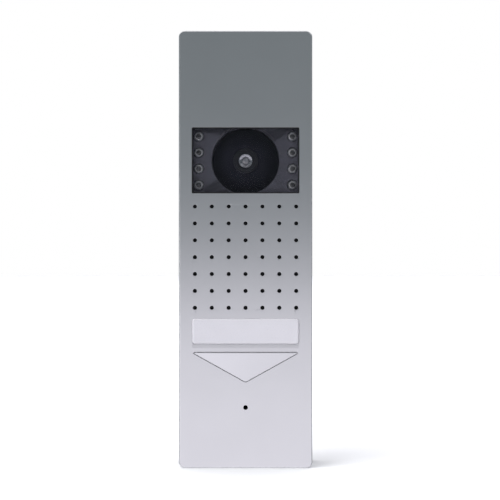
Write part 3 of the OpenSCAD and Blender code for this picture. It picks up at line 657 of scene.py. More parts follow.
ALUMINIUM = (0.5, 0.5, 0.508)
looks = {
    "anodised_aluminium": surface(ALUMINIUM, 0.34, 1.0, grain=0.0015, grain_size=0.14, mottle=0.015,
                                  mottle_size=25, rough_spread=0.03, wear=1.25),
    "button_aluminium": surface((0.53, 0.53, 0.54), 0.34, 1.0, grain=0.0015, grain_size=0.14, mottle=0.015,
                                mottle_size=20, rough_spread=0.03, wear=1.25),
    "black_abs": surface((0.02, 0.02, 0.022), 0.5, grain=0.02, grain_size=0.3),
    "dark_grey_abs": surface((0.052, 0.054, 0.058), 0.52, grain=0.03, grain_size=0.35, wear=1.8),
    "black_rubber": surface((0.006, 0.006, 0.007), 0.8, grain=0.01, grain_size=0.2),
    "smoked_window": surface((0.01, 0.011, 0.015), 0.05, grain=0.0, grain_size=6, mottle=0.1,
                             rough_spread=0.02, wear=2.0, Alpha=0.2, IOR=1.45),
    "bezel_plastic": surface((0.062, 0.061, 0.08), 0.45, grain=0.006, grain_size=0.2),
    # The second colour is the painted highlight round each lamp's dome.
    "lamp_resin": lamp_resin((0.07, 0.07, 0.075), (0.9, 0.9, 0.95)),
    "circuit_board": circuit_board((0.02, 0.13, 0.05)),
    "ball_plastic": surface((0.008, 0.007, 0.013), 0.7, grain=0.005, grain_size=0.3,
                            Specular_IOR_Level=0.25, Specular_Tint=(0.7, 0.78, 1.0, 1.0)),
    "lens_black": surface((0.006, 0.006, 0.01), 0.6, grain=0.004, grain_size=0.3),
    "lens_glass": surface((0.2, 0.2, 0.23), 0.12, grain=0.0, rough_spread=0.02, Coat_Weight=1.0,
                          Coat_IOR=1.9, IOR=1.7),
    "chip_black": surface((0.018, 0.018, 0.02), 0.45, grain=0.01, grain_size=0.15),
    "screw_steel": surface((0.55, 0.55, 0.56), 0.3, 1.0, grain=0.004, grain_size=0.3, mottle=0.08,
                           mottle_size=2),
    "plug_nylon": surface((0.75, 0.72, 0.6), 0.4, grain=0.01, Subsurface_Weight=0.1,
                          Subsurface_Scale=0.001),
    "lead_insulation": surface((0.4, 0.03, 0.03), 0.4, grain=0.004),
    "cable_sheath": surface((0.03, 0.03, 0.032), 0.45, grain=0.006),
    "speaker_cloth": weave((0.008, 0.008, 0.009), 0.45),
    "foam_black": surface((0.02, 0.02, 0.02), 0.9, grain=0.12, grain_size=0.5),
    "pressed_steel": surface((0.5, 0.51, 0.53), 0.32, 1.0, grain=0.004, grain_size=0.6, mottle=0.1,
                             mottle_size=6),
    "cone_paper": surface((0.025, 0.025, 0.027), 0.8, grain=0.03, grain_size=0.4, mottle=0.2,
                          mottle_size=1.0),
    "coil_copper": winding((0.6, 0.26, 0.1)),
    "ferrite": surface((0.035, 0.035, 0.037), 0.6, grain=0.03, grain_size=0.4, mottle=0.15),
    "clear_window": surface((0.89, 0.87, 0.935), 0.3, grain=0.003, grain_size=0.5, mottle=0.01, wear=1.1,
                            Alpha=0.6, IOR=1.5),
    "card_paper": paper((0.82, 0.8, 0.84)),
    "light_guide": surface((0.8, 0.8, 0.78), 0.3, grain=0.003, Subsurface_Weight=0.3,
                           Subsurface_Scale=0.002),
    "white_abs": surface((0.78, 0.78, 0.78), 0.45, grain=0.01),
    "lamp_phosphor": surface((0.8, 0.7, 0.25), 0.4, grain=0.01),
    "spring_steel": surface((0.6, 0.6, 0.62), 0.25, 1.0, grain=0.002),
    "actuator_plastic": surface((0.7, 0.7, 0.68), 0.42, grain=0.008),
    "microphone_can": surface((0.6, 0.6, 0.62), 0.3, 1.0, grain=0.003, streak=(1, 8, 1)),
    "capacitor_sleeve": surface((0.03, 0.035, 0.08), 0.28, grain=0.004),
    "trimmer_blue": surface((0.03, 0.1, 0.36), 0.4, grain=0.008),
    "terminal_green": surface((0.02, 0.22, 0.09), 0.42, grain=0.012, wear=1.5),
    "terminal_brass": surface((0.6, 0.56, 0.44), 0.3, 1.0, grain=0.004, mottle=0.1, mottle_size=1.5),
    "parts_black": surface((0.025, 0.025, 0.028), 0.4, grain=0.01),
    "bracket_steel": surface((0.5, 0.51, 0.53), 0.36, 1.0, grain=0.006, grain_size=0.5, mottle=0.16,
                             mottle_size=5, rough_spread=0.09),
    "stainless_screw": surface((0.6, 0.6, 0.61), 0.26, 1.0, grain=0.003),
    "lamp_metal": surface((0.55, 0.55, 0.56), 0.3, 1.0, grain=0.002),
    "lens_ring_metal": surface((0.6, 0.6, 0.65), 0.28, 1.0, grain=0.004, grain_size=0.3, mottle=0.2,
                               mottle_size=0.8, rough_spread=0.08),
}
for look, material in looks.items():
    material.name = look

# Every CAD node gets its material and eased edges, and is seen unless a piece stands for it
for part in frame["record"]["subparts"]:
    node = frame["nodes"][part["node"]]
    node.data.materials.clear()
    node.data.materials.append(looks[part["material_slot"]])
    bevel(node, 0.08)
    weighted_normals(node, 50)


# ------------------------------------------------------------------ fascia


def grille_holes():
    """A square grid of small round holes in front of the loudspeaker."""
    half = (grille_n - 1) / 2
    return [circle(grille_r, ((i - half) * grille_pitch, speaker_y + (j - half) * grille_pitch), 28)
            for i in range(grille_n) for j in range(grille_n)]


# Fine grooves in the fascia under the name plate: how far below it, their width and their depth
NAME_LIP_LINES = [(0.85, 0.45, 0.9), (1.65, 0.26, 0.15)]


def fascia():
    """An aluminium tray with every opening chamfered from the front."""
    shell = Shell()
    outer = rounded(body_w, body_h, corner_r, steps=12)
    inner = rounded(body_w - 2 * fascia_wall, body_h - 2 * fascia_wall, corner_r - fascia_wall, steps=12)
    rim = eased(split_z, 0.2, OUTLINE, False)[::-1]
    first, front = shell.walls(outer, rim + eased(front_z, fascia_ease, OUTLINE, steps=8))
    mouth = eased(split_z, 0.2, HOLE, False)[::-1]
    inside, back = shell.walls(inner, mouth + [(0.0, fascia_back_z, 0.0)])
    shell.bridge(first, inside)
    openings = [
        (window_outline(0, window_r), 0.1),
        (rounded(name_w + 2 * name_gap, name_h + 2 * name_gap, name_r + name_gap, (0, name_y)), 0.1),
        (lambda grow=0.0: triangle(button_gap + grow), 0.08),
        (circle(mic_r, (0, mic_y), 40), 0.14),
        *[(hole, 0.14) for hole in grille_holes()],
    ]
    fronts, backs = [front], [back]
    for outline, ease in openings:
        low, high = shell.walls(outline, through(fascia_back_z, front_z, 0, ease, HOLE))
        backs.append(low)
        fronts.append(high)
    for below, width, depth in NAME_LIP_LINES:
        line = rounded(name_w, width, width / 2 - 0.02, (0, name_y - name_h / 2 - below))
        bottom, top = shell.walls(line, [(-0.05, front_z - depth, 0.0), (0.0, front_z, 0.0)])
        shell.cap([bottom])
        fronts.append(top)
    shell.cap(fronts)
    shell.cap(backs)
    piece("fascia_shell", shell, "anodised_aluminium", ["front_plate"])


# ------------------------------------------------------------------ camera window


def window_surround():
    """The rubber gasket: a flange behind the fascia and a thin upstand round the pane."""
    shell = Shell()
    gap, lip_t = 0.05, 0.5
    lip = window_outline(-gap, window_r)
    opening = window_outline(-gap - lip_t, 0.4)
    flange = window_flange + gap
    flange_top = gasket_low.z + 0.4
    outside = [(flange, gasket_low.z, 0), (flange, flange_top, 0), (0, flange_top, 0)]
    low_out, high_out = shell.walls(lip, outside + eased(gasket_high.z, 0.12, OUTLINE))
    low_in, high_in = shell.walls(opening, [(0, gasket_low.z, 0)] + eased(gasket_high.z, 0.12, HOLE))
    shell.bridge(low_out, low_in)
    shell.bridge(high_out, high_in)
    piece("window_surround", shell, "black_rubber", ["window_gasket"])


def window_pane():
    """The smoked window: a flange behind the gasket and the pane that shows."""
    shell = Shell()
    gap, flange = 0.6, 1.3
    pane = window_outline(-gap, 0.4)
    flange_top = pane_low.z + 0.8
    levels = [(flange, pane_low.z, 0), (flange, flange_top, 0), (0, flange_top, 0)]
    shell.solid(pane, levels + eased(pane_high.z, 0.25, OUTLINE, steps=4))
    piece("smoked_pane", shell, "smoked_window", ["camera_window"])


lamp_places = [(side * lamp_x, camera_y + (k - 1.5) * lamp_pitch) for side in (-1, 1) for k in range(4)]


def bezel_flange():
    """The outline of the bezel's flange: a rectangle with its four corners cut out."""
    in_x, in_y = 23.3, 15.4
    out_x, out_y = (bezel_high.x - bezel_low.x) / 2, (bezel_high.y - bezel_low.y) / 2
    corners = [(out_x, in_y), (in_x, in_y), (in_x, out_y)]
    turns = [corners, [(-x, y) for x, y in corners[::-1]], [(-x, -y) for x, y in corners],
             [(x, -y) for x, y in corners[::-1]]]
    return fixed([(x, camera_y + y) for quarter in turns for x, y in quarter])


def lamp_surround():
    """The bezel: its front plate, the flange behind it, and the skirt round the ball."""
    centre = (0, camera_y)
    step_z = front_z - 4.0
    overlap = 0.3
    plate = Shell()
    plate.slab(window_outline(window_flange, 1.0), step_z, bezel_high.z, 0.0)
    flange = Shell()
    flange.slab(bezel_flange(), bezel_flange_z, step_z, 0.0)
    skirt = Shell()
    skirt.slab(circle(iris_r + skirt_wall, centre, 128), bezel_low.z, bezel_flange_z + overlap, 0.0)
    holes = Shell()
    round_holes = [(centre, iris_r, 0.35, 128)] + [(p, lamp_r + 0.08, 0.08, 40) for p in lamp_places]
    for (x, y), r, ease, sides in round_holes:
        edge = [(r + grow, z, wear) for grow, z, wear in eased(bezel_high.z, ease, HOLE, steps=4)]
        holes.lathe(plain((0, bezel_low.z - 1), (r, bezel_low.z - 1)) + edge
                    + plain((r + ease, bezel_high.z + 1), (0, bezel_high.z + 1)), along_z(x, y), sides)
    steps = [("UNION", flange), ("UNION", skirt), ("DIFFERENCE", holes)]
    piece("lamp_surround", carved(plate, steps, 0.0), "bezel_plastic", ["lamp_bezel"])


def infrared_lamps():
    """Resin bodies, and the metal cup, post and leads inside each."""
    resin = Shell()
    metal = Shell()
    dome_z = lamp_high.z - lamp_r
    body = plain((0, lamp_base_z), (2.75, lamp_base_z))
    body += plain((2.9, lamp_base_z + 0.15), (2.9, lamp_base_z + 0.85), (2.8, lamp_base_z + 1.0),
                  (lamp_r, lamp_base_z + 1.0))
    # The ring between these radii is marked for the painted highlight of the resin.
    body += [(r, h, 1 if 1.35 < r < 2.45 else 0) for r, h, w in arc((0, dome_z), lamp_r, 0, 85, 17)]
    body += plain((0, lamp_high.z))
    cup_z = dome_z - 0.6
    cup = plain((0, cup_z - 1.6), (0.7, cup_z - 1.5), (1.25, cup_z), (1.15, cup_z), (0.6, cup_z - 0.9),
                (0, cup_z - 0.95))
    die = plain((0, cup_z - 0.94), (0.3, cup_z - 0.94), (0.3, cup_z - 0.7), (0, cup_z - 0.7))
    for x, y in lamp_places:
        resin.lathe(body, along_z(x, y), 40)
        metal.lathe(cup, along_z(x, y), 24)
        metal.lathe(die, along_z(x, y), 4)
        for side, top in ((-1, cup_z - 1.7), (1, cup_z - 0.6)):
            lead_y = y + side * 1.27
            metal.box((x - 0.25, lead_y - 0.25, lamp_low.z), (x + 0.25, lead_y + 0.25, top), 0.05)
    piece("lamp_bodies", resin, "lamp_resin", ["infrared_lamps"])
    piece("lamp_frames", metal, "screw_steel", look="lamp_metal")


# ------------------------------------------------------------------ camera


def add_ears(shell):
    """The ball's two ears with their trunnions, and the four posts behind its lens port."""
    ear_x, ear_half_t, ear_half_w = 16.6, 1.0, 3.6
    post_x = 9.6
    for side in (-1, 1):
        shell.box((side * ear_x - ear_half_t, camera_y - ear_half_w, pivot_z - 2.4),
                  (side * ear_x + ear_half_t, camera_y + ear_half_w, ball_rim_z + 1.6), 0.2)
        pin = plain((0, 17.4), (3.0, 17.4), (3.0, 20.2), (2.8, 20.4), (2.0, 20.4), (2.0, 23.1),
                    (1.7, 23.4), (0, 23.4))
        shell.lathe([(r, side * h, w) for r, h, w in pin], along_x(camera_y, pivot_z), 40)
        for up in (-1, 1):
            post = plain((1.0, 12.2), (2.0, 12.2), (2.0, 20.5), (1.0, 20.5))
            shell.lathe(post, along_z(side * post_x, camera_y + up * post_x), 32, closed=True)


def camera_ball():
    """The matt ball with a ring round its lens port, its ears and its trunnions."""
    shell = Shell()
    place = along_z(0, camera_y)
    port_r = lens_r + 0.2

    def on_sphere(r, radius):
        """The height at which a sphere about the pivot has this radius across."""
        return pivot_z + math.sqrt(radius * radius - r * r)

    inner_r = ball_r - ball_wall
    rim_out = math.sqrt(ball_r**2 - (ball_rim_z - pivot_z) ** 2)
    rim_in = math.sqrt(inner_r**2 - (ball_rim_z - pivot_z) ** 2)
    groove_r = 7.7

    def sweep(start, end, radius, steps=40):
        """Profile points along a sphere, from one radius to another."""
        radii = [start + (end - start) * k / steps for k in range(steps + 1)]
        return [(r, on_sphere(r, radius), 0) for r in radii]

    groove = [(groove_r + 0.1, on_sphere(groove_r + 0.1, ball_r) - 0.1, 0),
              (groove_r, on_sphere(groove_r, ball_r) - 0.1, 0),
              (groove_r - 0.1, on_sphere(groove_r - 0.1, ball_r), 0)]
    port = [(port_r + 0.15, on_sphere(port_r + 0.15, ball_r), 0),
            (port_r, on_sphere(port_r, ball_r) - 0.15, 0)]
    outer = sweep(rim_out, groove_r + 0.2, ball_r)
    shell.lathe(outer + groove + port + sweep(port_r, rim_in, inner_r), place, 128, closed=True)
    add_ears(shell)
    piece("camera_eyeball", shell, "ball_plastic", ["camera_ball"], "camera")


def lens():
    """The barrel with stepped baffles, the bright retaining ring and the front glass."""
    top = lens_high.z
    bore_z = top - 2.4
    glass_edge_r = 1.88
    ring_bore_r = 1.9
    barrel = Shell()
    place = along_z(0, camera_y)
    outside = plain((2.6, lens_low.z), (5.6, lens_low.z), (5.6, 14.6), (lens_r, 14.6), (lens_r, top - 0.3))
    outside += [(r, h, 1) for r, h, w in arc((lens_r - 0.3, top - 0.3), 0.3, 0, 90, 4)]
    baffle = []
    for k in range(4):
        r = 5.3 - 0.45 * k
        h = top - 0.18 * k
        baffle += plain((r, h), (r - 0.05, h - 0.18))
    bore = plain((glass_r + 0.05, top - 0.75), (glass_r + 0.05, bore_z), (2.6, bore_z))
    barrel.lathe(outside + baffle + bore, place, 96, closed=True)
    piece("lens_barrel_body", barrel, "lens_black", ["lens_barrel"], "camera")

    ring = Shell()
    ring.lathe([(glass_r, bore_z, 0), (glass_r, top - 0.65, 1), (glass_r - 0.12, top - 0.5, 1),
                (glass_r - 0.3, top - 0.5, 0), (2.0, top - 1.08, 0), (ring_bore_r, top - 1.2, 1),
                (ring_bore_r, bore_z, 0)], place, 96, closed=True)
    stepped = ring.mesh(math.radians(25))
    piece("lens_ring", stepped, "screw_steel", body="camera", look="lens_ring_metal")

    glass = Shell()
    dome = 2.6
    crown_z = top - 0.95
    rim_z = crown_z - dome + math.sqrt(dome**2 - glass_edge_r**2)
    front = [(r, crown_z - dome + math.sqrt(dome**2 - r * r), 0)
             for r in [glass_edge_r * (1 - k / 12) for k in range(13)]]
    side = plain((0, bore_z), (glass_edge_r, bore_z), (glass_edge_r, rim_z - 0.02))
    glass.lathe(side + front, place, 64)
    piece("lens_front_glass", glass, "lens_glass", ["lens_glass"], "camera")


# ------------------------------------------------------------------ name window, button, grille cloth


def name_plate():
    """The raised clear window, with the blank card behind it."""
    shell = Shell()
    outline = rounded(name_w, name_h, name_r, (0, name_y))
    flange = (name_high.x - name_low.x - name_w) / 2
    root = name_gap - 0.02
    levels = [(flange, name_low.z, 0), (flange, fascia_back_z, 0), (root, fascia_back_z, 0),
              (root, front_z - 0.1, 0)]
    shell.solid(outline, levels + eased(name_high.z, 0.75, OUTLINE, steps=6))
    piece("name_pane", shell, "clear_window", ["name_window"])
    card = Shell()
    card.slab(between(card_low, card_high, 0.3), card_low.z, card_high.z, 0.03)
    piece("blank_name_card", card, "card_paper", ["name_card"])


def call_button():
    """The triangular cap, its retaining flange, its stem and its spring posts."""
    shell = Shell()
    cap_z = button_high.z
    stem_end = button_low.z
    flange_low = fascia_back_z - 1.1
    flange_high = flange_low + 1.0
    levels = [(button_flange, flange_low, 0), (button_flange, flange_high, 0), (0, flange_high, 0)]
    shell.solid(triangle, levels + eased(cap_z, 0.2, OUTLINE, steps=4))
    middle = button_y - button_h * 0.36
    shell.lathe(plain((0, stem_end), (2.8, stem_end), (3.0, stem_end + 0.2), (3.0, flange_low),
                      (0, flange_low)), along_z(0, middle), 48)
    for x in (-11, 11):
        post = plain((0, flange_low - 1), (1.1, flange_low - 1), (1.3, flange_low - 0.8), (1.3, flange_low),
                     (0, flange_low))
        shell.lathe(post, along_z(x, button_y - 2.8), 32)
    piece("call_button_cap", shell, "button_aluminium", ["call_button"], "button")


def grille_cloth():
    """The dark cloth behind the grille holes."""
    shell = Shell()
    shell.slab(between(speaker_low, speaker_high, 0.8), speaker_low.z, speaker_high.z, 0.08)
    piece("grille_cloth", shell, "speaker_cloth", ["speaker_mesh"])


def microphone():
    """The metal can, and the felt that shows through the hole in the fascia."""
    front = mic_high.z
    can_r = (mic_high.x - mic_low.x) / 2
    can = Shell()
    outside = plain((0, mic_low.z), (can_r - 0.1, mic_low.z), (can_r, mic_low.z + 0.1), (can_r, front - 0.3))
    lip = plain((can_r - 0.1, front - 0.05), (can_r - 0.3, front), (can_r - 0.9, front),
                (can_r - 0.9, front - 0.25), (0, front - 0.25))
    can.lathe(outside + lip, along_z(0, mic_y), 48)
    piece("microphone_can", can, "microphone_can", ["microphone"])
    felt = Shell()
    felt.lathe(plain((0, front - 0.3), (can_r - 0.95, front - 0.3), (can_r - 0.95, front - 0.05),
                     (can_r - 1.1, front), (0, front)), along_z(0, mic_y), 48)
    piece("microphone_felt", felt, "speaker_cloth")


def seal():
    """The rubber frame between the rear housing and the chassis."""
    shell = Shell()
    width = 2.4
    outside = between(seal_low, seal_high, 2.5, steps=12)
    inside = between(seal_low, seal_high, 0.8, -width)
    shell.slab(outside, seal_low.z, seal_high.z, 0.15, [inside])
    piece("housing_gasket", shell, "black_rubber", ["housing_seal"])


fascia()
window_surround()
window_pane()
lamp_surround()
infrared_lamps()
camera_ball()
lens()
name_plate()
call_button()
grille_cloth()
microphone()
seal()


# ------------------------------------------------------------------ wires and springs


def smooth(points, steps=4):
    """A smooth path through given points."""
    points = [Vector(p) for p in points]
    last = len(points) - 1
    path = []
    for i in range(last):
        a, b = points[max(i - 1, 0)], points[i]
        c, d = points[i + 1], points[min(i + 2, last)]
        for k in range(steps):
            t = k / steps
            path.append(0.5 * (2 * b + (c - a) * t + (2 * a - 5 * b + 4 * c - d) * t**2
                               + (3 * b - a - 3 * c + d) * t**3))
    return path + [points[last]]


plug_top_y = extent("camera_plug")[1].y
terminal_board_z = extent("terminal_board")[0].z
camera_cable_route = [
    (0, plug_top_y, 9.8), (0, 53, 9.8), (0, 54.5, 9.8), (0, 58, 10.4), (0, 62, 11.8), (0, 65.8, 13.8),
    (0, 68.6, 15.8), (0, 69.4, 17), (0, 69.4, 17.6), (0, 69.4, terminal_board_z),
]
board_cable_route = [
    (-20.7, 79, terminal_board_z), (-20.7, 79, 17.5), (-20.7, 79, 16.8), (-20.9, 77.2, 13.6),
    (-22, 71.5, 10.6), (-24.5, 62, 9.4), (-25.7, 52, 9.2), (-25.7, 36, 9.2), (-24, 29, 9.3),
    (-20.6, 23.4, 9.6), (-19.6, 17, 9.8), (-19.6, 8, 9.8), (-19.8, -6, 9.8), (-19.5, -18, 9.8),
    (-18.4, -27, 10.4), (-17.3, -31.6, 12.4), (-17, -33.6, 13.8), (-17, -34.6, 13.8), (-17, -35.5, 13.8),
]
speaker_lead_route = [(-20.7, 19.2), (-20.8, 18.4), (-21.6, 17), (-23.4, 15.4), (-26, 14.3),
                      (-29, 14.1), (-31.6, 14.8), (-32.6, 16.1), (-32.7, 17)]
lamp_lead_route = [(23.15, 59.4, 20.2), (23.15, 61, 20.2), (23.15, 63.3, 20.1), (22.6, 65, 19.3),
                   (22.3, 66, 19), (22.3, 67, 19)]


def wires():
    """The camera's cable, which is attached to no body, and the cables and leads that stay put."""
    camera_cable = Shell()
    camera_cable.tube(smooth(camera_cable_route), 0.9, 20)
    lead = piece("camera_lead", camera_cable, "cable_sheath", ["camera_cable"], body=None)
    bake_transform(lead)
    board_cable = Shell()
    board_cable.tube(smooth(board_cable_route), 1.1, 20)
    piece("board_lead", board_cable, "cable_sheath", ["board_cable"])
    leads = Shell()
    for x in (-2, 2):
        leads.tube(smooth([(x, y, z) for y, z in speaker_lead_route]), 0.6)
    for side in (-1, 1):
        leads.tube(smooth([(side * x, y, z) for x, y, z in lamp_lead_route]), 0.45)
    piece("thin_leads", leads, "lead_insulation", ["speaker_and_lamp_leads"])


def springs():
    """The two return springs between the guide and the button."""
    low, high = extent("button_springs")
    wire = 0.2
    turns = 4
    steps = 24 * turns
    reach = (high.y - low.y) / 2 - wire
    rise = high.z - low.z - 2 * wire
    shell = Shell()
    for x in (low.x + reach + wire, high.x - reach - wire):
        path = []
        for k in range(steps + 1):
            a = math.tau * turns * k / steps
            path.append((x + reach * math.cos(a), (low.y + high.y) / 2 + reach * math.sin(a),
                         low.z + wire + rise * k / steps))
        shell.tube(path, wire, 10)
    coils = piece("return_springs", shell, "spring_steel", ["button_springs"])
    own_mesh(coils)


# ------------------------------------------------------------------ rear housing and wall bracket

BEYOND = 1  # how far a cutting shape runs past what it cuts
back_out_z, back_in_z = 4.2, 6.2
rear_wall = 2.2
seat_z = 7.4
screw_places = [(x, y) for x in (-26.4, 26.4) for y in (-100.6, 18, 100.6)]
column_r = 4.2
plug_places = [(-10, -68), (10, -68)]
well = [(-17, 76), (17, 100)]
well_wall = 1.5
pocket = [(-8, -103.5), (8, -94.6)]
pocket_top_z = 11.2
pocket_wall = 1.3
hook_x = [(-16, -8), (8, 16)]
hook_y = 63.5
hook_rise = 4
hook_z = [6.4, 7.9]
hook_room = 0.4
lock_z = 6.5
bracket_t = 1.5


def hook_space(top_y, spare=0.6):
    """The corners of the room round each hook, up to a height."""
    bottom_y = hook_y - hook_rise - 0.2
    return [((low - spare, bottom_y), (high + spare, top_y)) for low, high in hook_x]


bottom_edge = rear_low.y
hook_top_y = hook_y + bracket_t + hook_rise + hook_room


def rear_boxes():
    """What stands on the back wall: screw columns, and walls round the well, hooks and lock screw."""
    inside = Shell()
    for place in screw_places:
        inside.slab(circle(column_r, place, 48), back_out_z, rear_high.z, 0.0)
    inside.slab(between(*well, 0.4, well_wall), back_out_z, terminal_board_z, 0.0)
    for space in hook_space(hook_top_y):
        inside.slab(between(*space, 0.3, pocket_wall), back_out_z, hook_z[1] + hook_room + pocket_wall, 0.0)
    pocket_end = (pocket[1][0] + pocket_wall, pocket[1][1] + pocket_wall)
    pocket_start = (-pocket_end[0], bottom_edge + 1)
    inside.slab(between(pocket_start, pocket_end, 0.3), back_out_z, pocket_top_z + pocket_wall, 0.0)
    return inside


def rear_bores():
    """The rooms inside those walls, the screw holes and the holes for the plugs."""
    bores = Shell()
    bores.slab(between(*well, 0.4), -BEYOND, terminal_board_z + 0.8, 0.0)
    for space in hook_space(hook_top_y):
        bores.slab(between(*space, 0.2), back_in_z, hook_z[1] + hook_room, 0.0)
    bores.slab(between(*pocket, 0.3), -BEYOND, pocket_top_z, 0.0)
    for place in screw_places:
        bores.slab(circle(1.5, place, 32), -BEYOND, rear_high.z + BEYOND, 0.0)
    for place in plug_places:
        bores.slab(circle(2.75, place, 40), -BEYOND, back_in_z + BEYOND, 0.0)
    return bores


def rear_seats():
    """The seats of the screw heads, the slots that the hooks enter by and the lock screw's way in."""
    seats = Shell()
    for place in screw_places:
        seats.slab(circle(3.0, place, 48), -BEYOND, seat_z, 0.0)
    for space in hook_space(hook_y + bracket_t + 0.1):
        seats.slab(between(*space, 0.2), -BEYOND, back_in_z + 0.1, 0.0)
    lock_hole = circle(1.7, (0, lock_z), 32)
    seats.slab(lock_hole, bottom_edge - BEYOND, bottom_edge + 8, 0.0, place=face_down)
    return seats


def rear_shell():
    """The rear housing: a tray with a recess behind it, and what is built on and cut in its back."""
    tray = Shell()
    tray.slab(between(rear_low, rear_high, 2.5, steps=12), rear_low.z, rear_high.z, 0.0)
    hollow = Shell()
    cavity = between(rear_low, rear_high, 0.6, -rear_wall)
    hollow.slab(cavity, back_in_z, rear_high.z + BEYOND, 0.0)
    hollow.slab(cavity, -BEYOND, back_out_z, 0.0)
    head = Shell()
    lock_head = circle(3.05, (0, lock_z), 48)
    head.slab(lock_head, bottom_edge - BEYOND, bottom_edge + 2.2, 0.0, place=face_down)
    steps = [("DIFFERENCE", hollow), ("UNION", rear_boxes()), ("DIFFERENCE", rear_bores()),
             ("DIFFERENCE", rear_seats()), ("DIFFERENCE", head)]
    piece("rear_shell", carved(tray, steps, 0.25), "dark_grey_abs", ["rear_housing"])


def cross(r, half_w, centre):
    """The outline of a cross-shaped driver recess."""
    quarter = [(r, half_w), (half_w, half_w), (half_w, r)]
    turns = [quarter, [(-y, x) for x, y in quarter], [(-x, -y) for x, y in quarter],
             [(y, -x) for x, y in quarter]]
    return fixed([(centre[0] + x, centre[1] + y) for part in turns for x, y in part])


def thread(start, end, crest_r, root_r, rise, pitch):
    """Profile points of a screw's thread, drawn as rings."""
    points = []
    h = start
    while h < end:
        points += plain((crest_r, h), (root_r, h + rise))
        h += pitch
    return points


def housing_screws():
    """Six pan-head screws, their heads towards the wall and their threads in the chassis."""
    head_r, head_t = 2.6, 2.0
    shank_r, tip_z = 1.25, 23.0
    head_z = seat_z - head_t
    head = plain((0, head_z), (1.7, head_z)) + [(2.3, head_z + 0.35, 1), (head_r, head_z + 1.0, 0),
                                                (head_r, seat_z - 0.1, 0), (head_r - 0.1, seat_z, 0)]
    shank = plain((shank_r, seat_z), (shank_r, 13.0)) + thread(13.2, tip_z - 1, shank_r, 1.02, 0.35, 0.7)
    screws = Shell()
    recesses = Shell()
    for place in screw_places:
        screws.lathe(head + shank + plain((0.9, tip_z - 0.5), (0, tip_z)), along_z(*place), 40)
        recesses.slab(cross(head_r * 0.6, 0.3, place), head_z - BEYOND, head_z + head_t * 0.6, 0.0)
    piece("rear_screws", carved(screws, [("DIFFERENCE", recesses)], 0.0), "screw_steel", ["housing_screws"])


def plugs():
    """Rubber plugs over the two trimmers: a rim outside the back wall and a stem with a hollow end."""
    low, high = extent("adjustment_plugs")
    shell = Shell()
    for place in plug_places:
        rim = arc((3.7, low.z + 0.3), 0.3, -90, 0, 5) + plain((4.0, back_out_z))
        stem = plain((2.7, back_out_z), (2.7, high.z - 0.3), (2.4, high.z), (1.6, high.z),
                     (1.5, high.z - 1.2), (0, high.z - 1.2))
        dish = plain((0, low.z + 0.25), (2.4, low.z + 0.25), (2.7, low.z))
        shell.lathe(dish + rim + stem, along_z(*place), 48)
    piece("trimmer_plugs", shell, "black_rubber", ["adjustment_plugs"])


def hook_outline():
    """A hook seen from the side: it comes out of the plate and bends up behind the housing's wall."""
    outer, inner = 1.9, 0.4
    root_z = 0.2
    low_z, high_z = hook_z
    far_y = hook_y + bracket_t
    tip_y = far_y + hook_rise
    points = [(hook_y, root_z), (hook_y, high_z - outer)]
    points += [(y, z) for y, z, wear in arc((hook_y + outer, high_z - outer), outer, 180, 90)]
    points += [(tip_y, high_z), (tip_y, low_z)]
    points += [(y, z) for y, z, wear in arc((far_y + inner, low_z - inner), inner, 90, 180)]
    return fixed(points + [(far_y, root_z)])


def wall_plate():
    """The steel bracket: a flat plate with its holes, two bent hooks and the tab for the lock screw."""
    shell = Shell()
    bottom, top = bracket_low.y, 68.0
    middle = -15.0
    hole_x, hole_y = 20, 69
    box_slot_y = 30
    holes = [circle(2.25, (sx * hole_x, middle + sy * hole_y), 40) for sx in (-1, 1) for sy in (-1, 1)]
    holes += [slot(4.5, 8, (0, middle + s * box_slot_y)) for s in (-1, 1)]
    holes.append(rounded(28, 26, 2, (0, middle)))
    plate = between((-bracket_high.x, bottom), (bracket_high.x, top), 3)
    shell.slab(plate, 0, bracket_t, 0.15, holes)
    for low, high in hook_x:
        shell.slab(hook_outline(), low, high, 0.0, place=face_side)
    tab = rounded(12, 10.4, 1.2, (0, 5.3))
    shell.slab(tab, bottom, bottom + bracket_t, 0.12, [circle(1.55, (0, lock_z), 32)], face_down)
    piece("wall_plate", shell, "bracket_steel", ["wall_bracket"])


def lock_screw():
    """The screw that enters the housing's bottom edge and holds it to the bracket's tab."""
    low, high = extent("locking_screw")
    head_r, shank_r = 2.75, 1.5
    head_end = low.y + 1.9
    head = plain((0, low.y), (2.3, low.y)) + [(2.6, low.y + 0.1, 1), (head_r, low.y + 0.35, 0),
                                              (head_r, head_end, 0)]
    shank = plain((shank_r, head_end), (shank_r, head_end + 2))
    shank += thread(head_end + 2.2, high.y - 0.6, shank_r, 1.25, 0.25, 0.5)
    screw = Shell()
    screw.lathe(head + shank + plain((1.1, high.y), (0, high.y)), along_y(0, lock_z), 40)
    socket = Shell()
    socket.slab(circle(1.2, (0, lock_z), 6), low.y - BEYOND, low.y + 1.3, 0.0, place=face_down)
    piece("lock_screw", carved(screw, [("DIFFERENCE", socket)], 0.0), "stainless_screw", ["locking_screw"])


way_pitch = 5
ways = [way_pitch * (k - 2.5) for k in range(6)]
clamp_y = 94.0


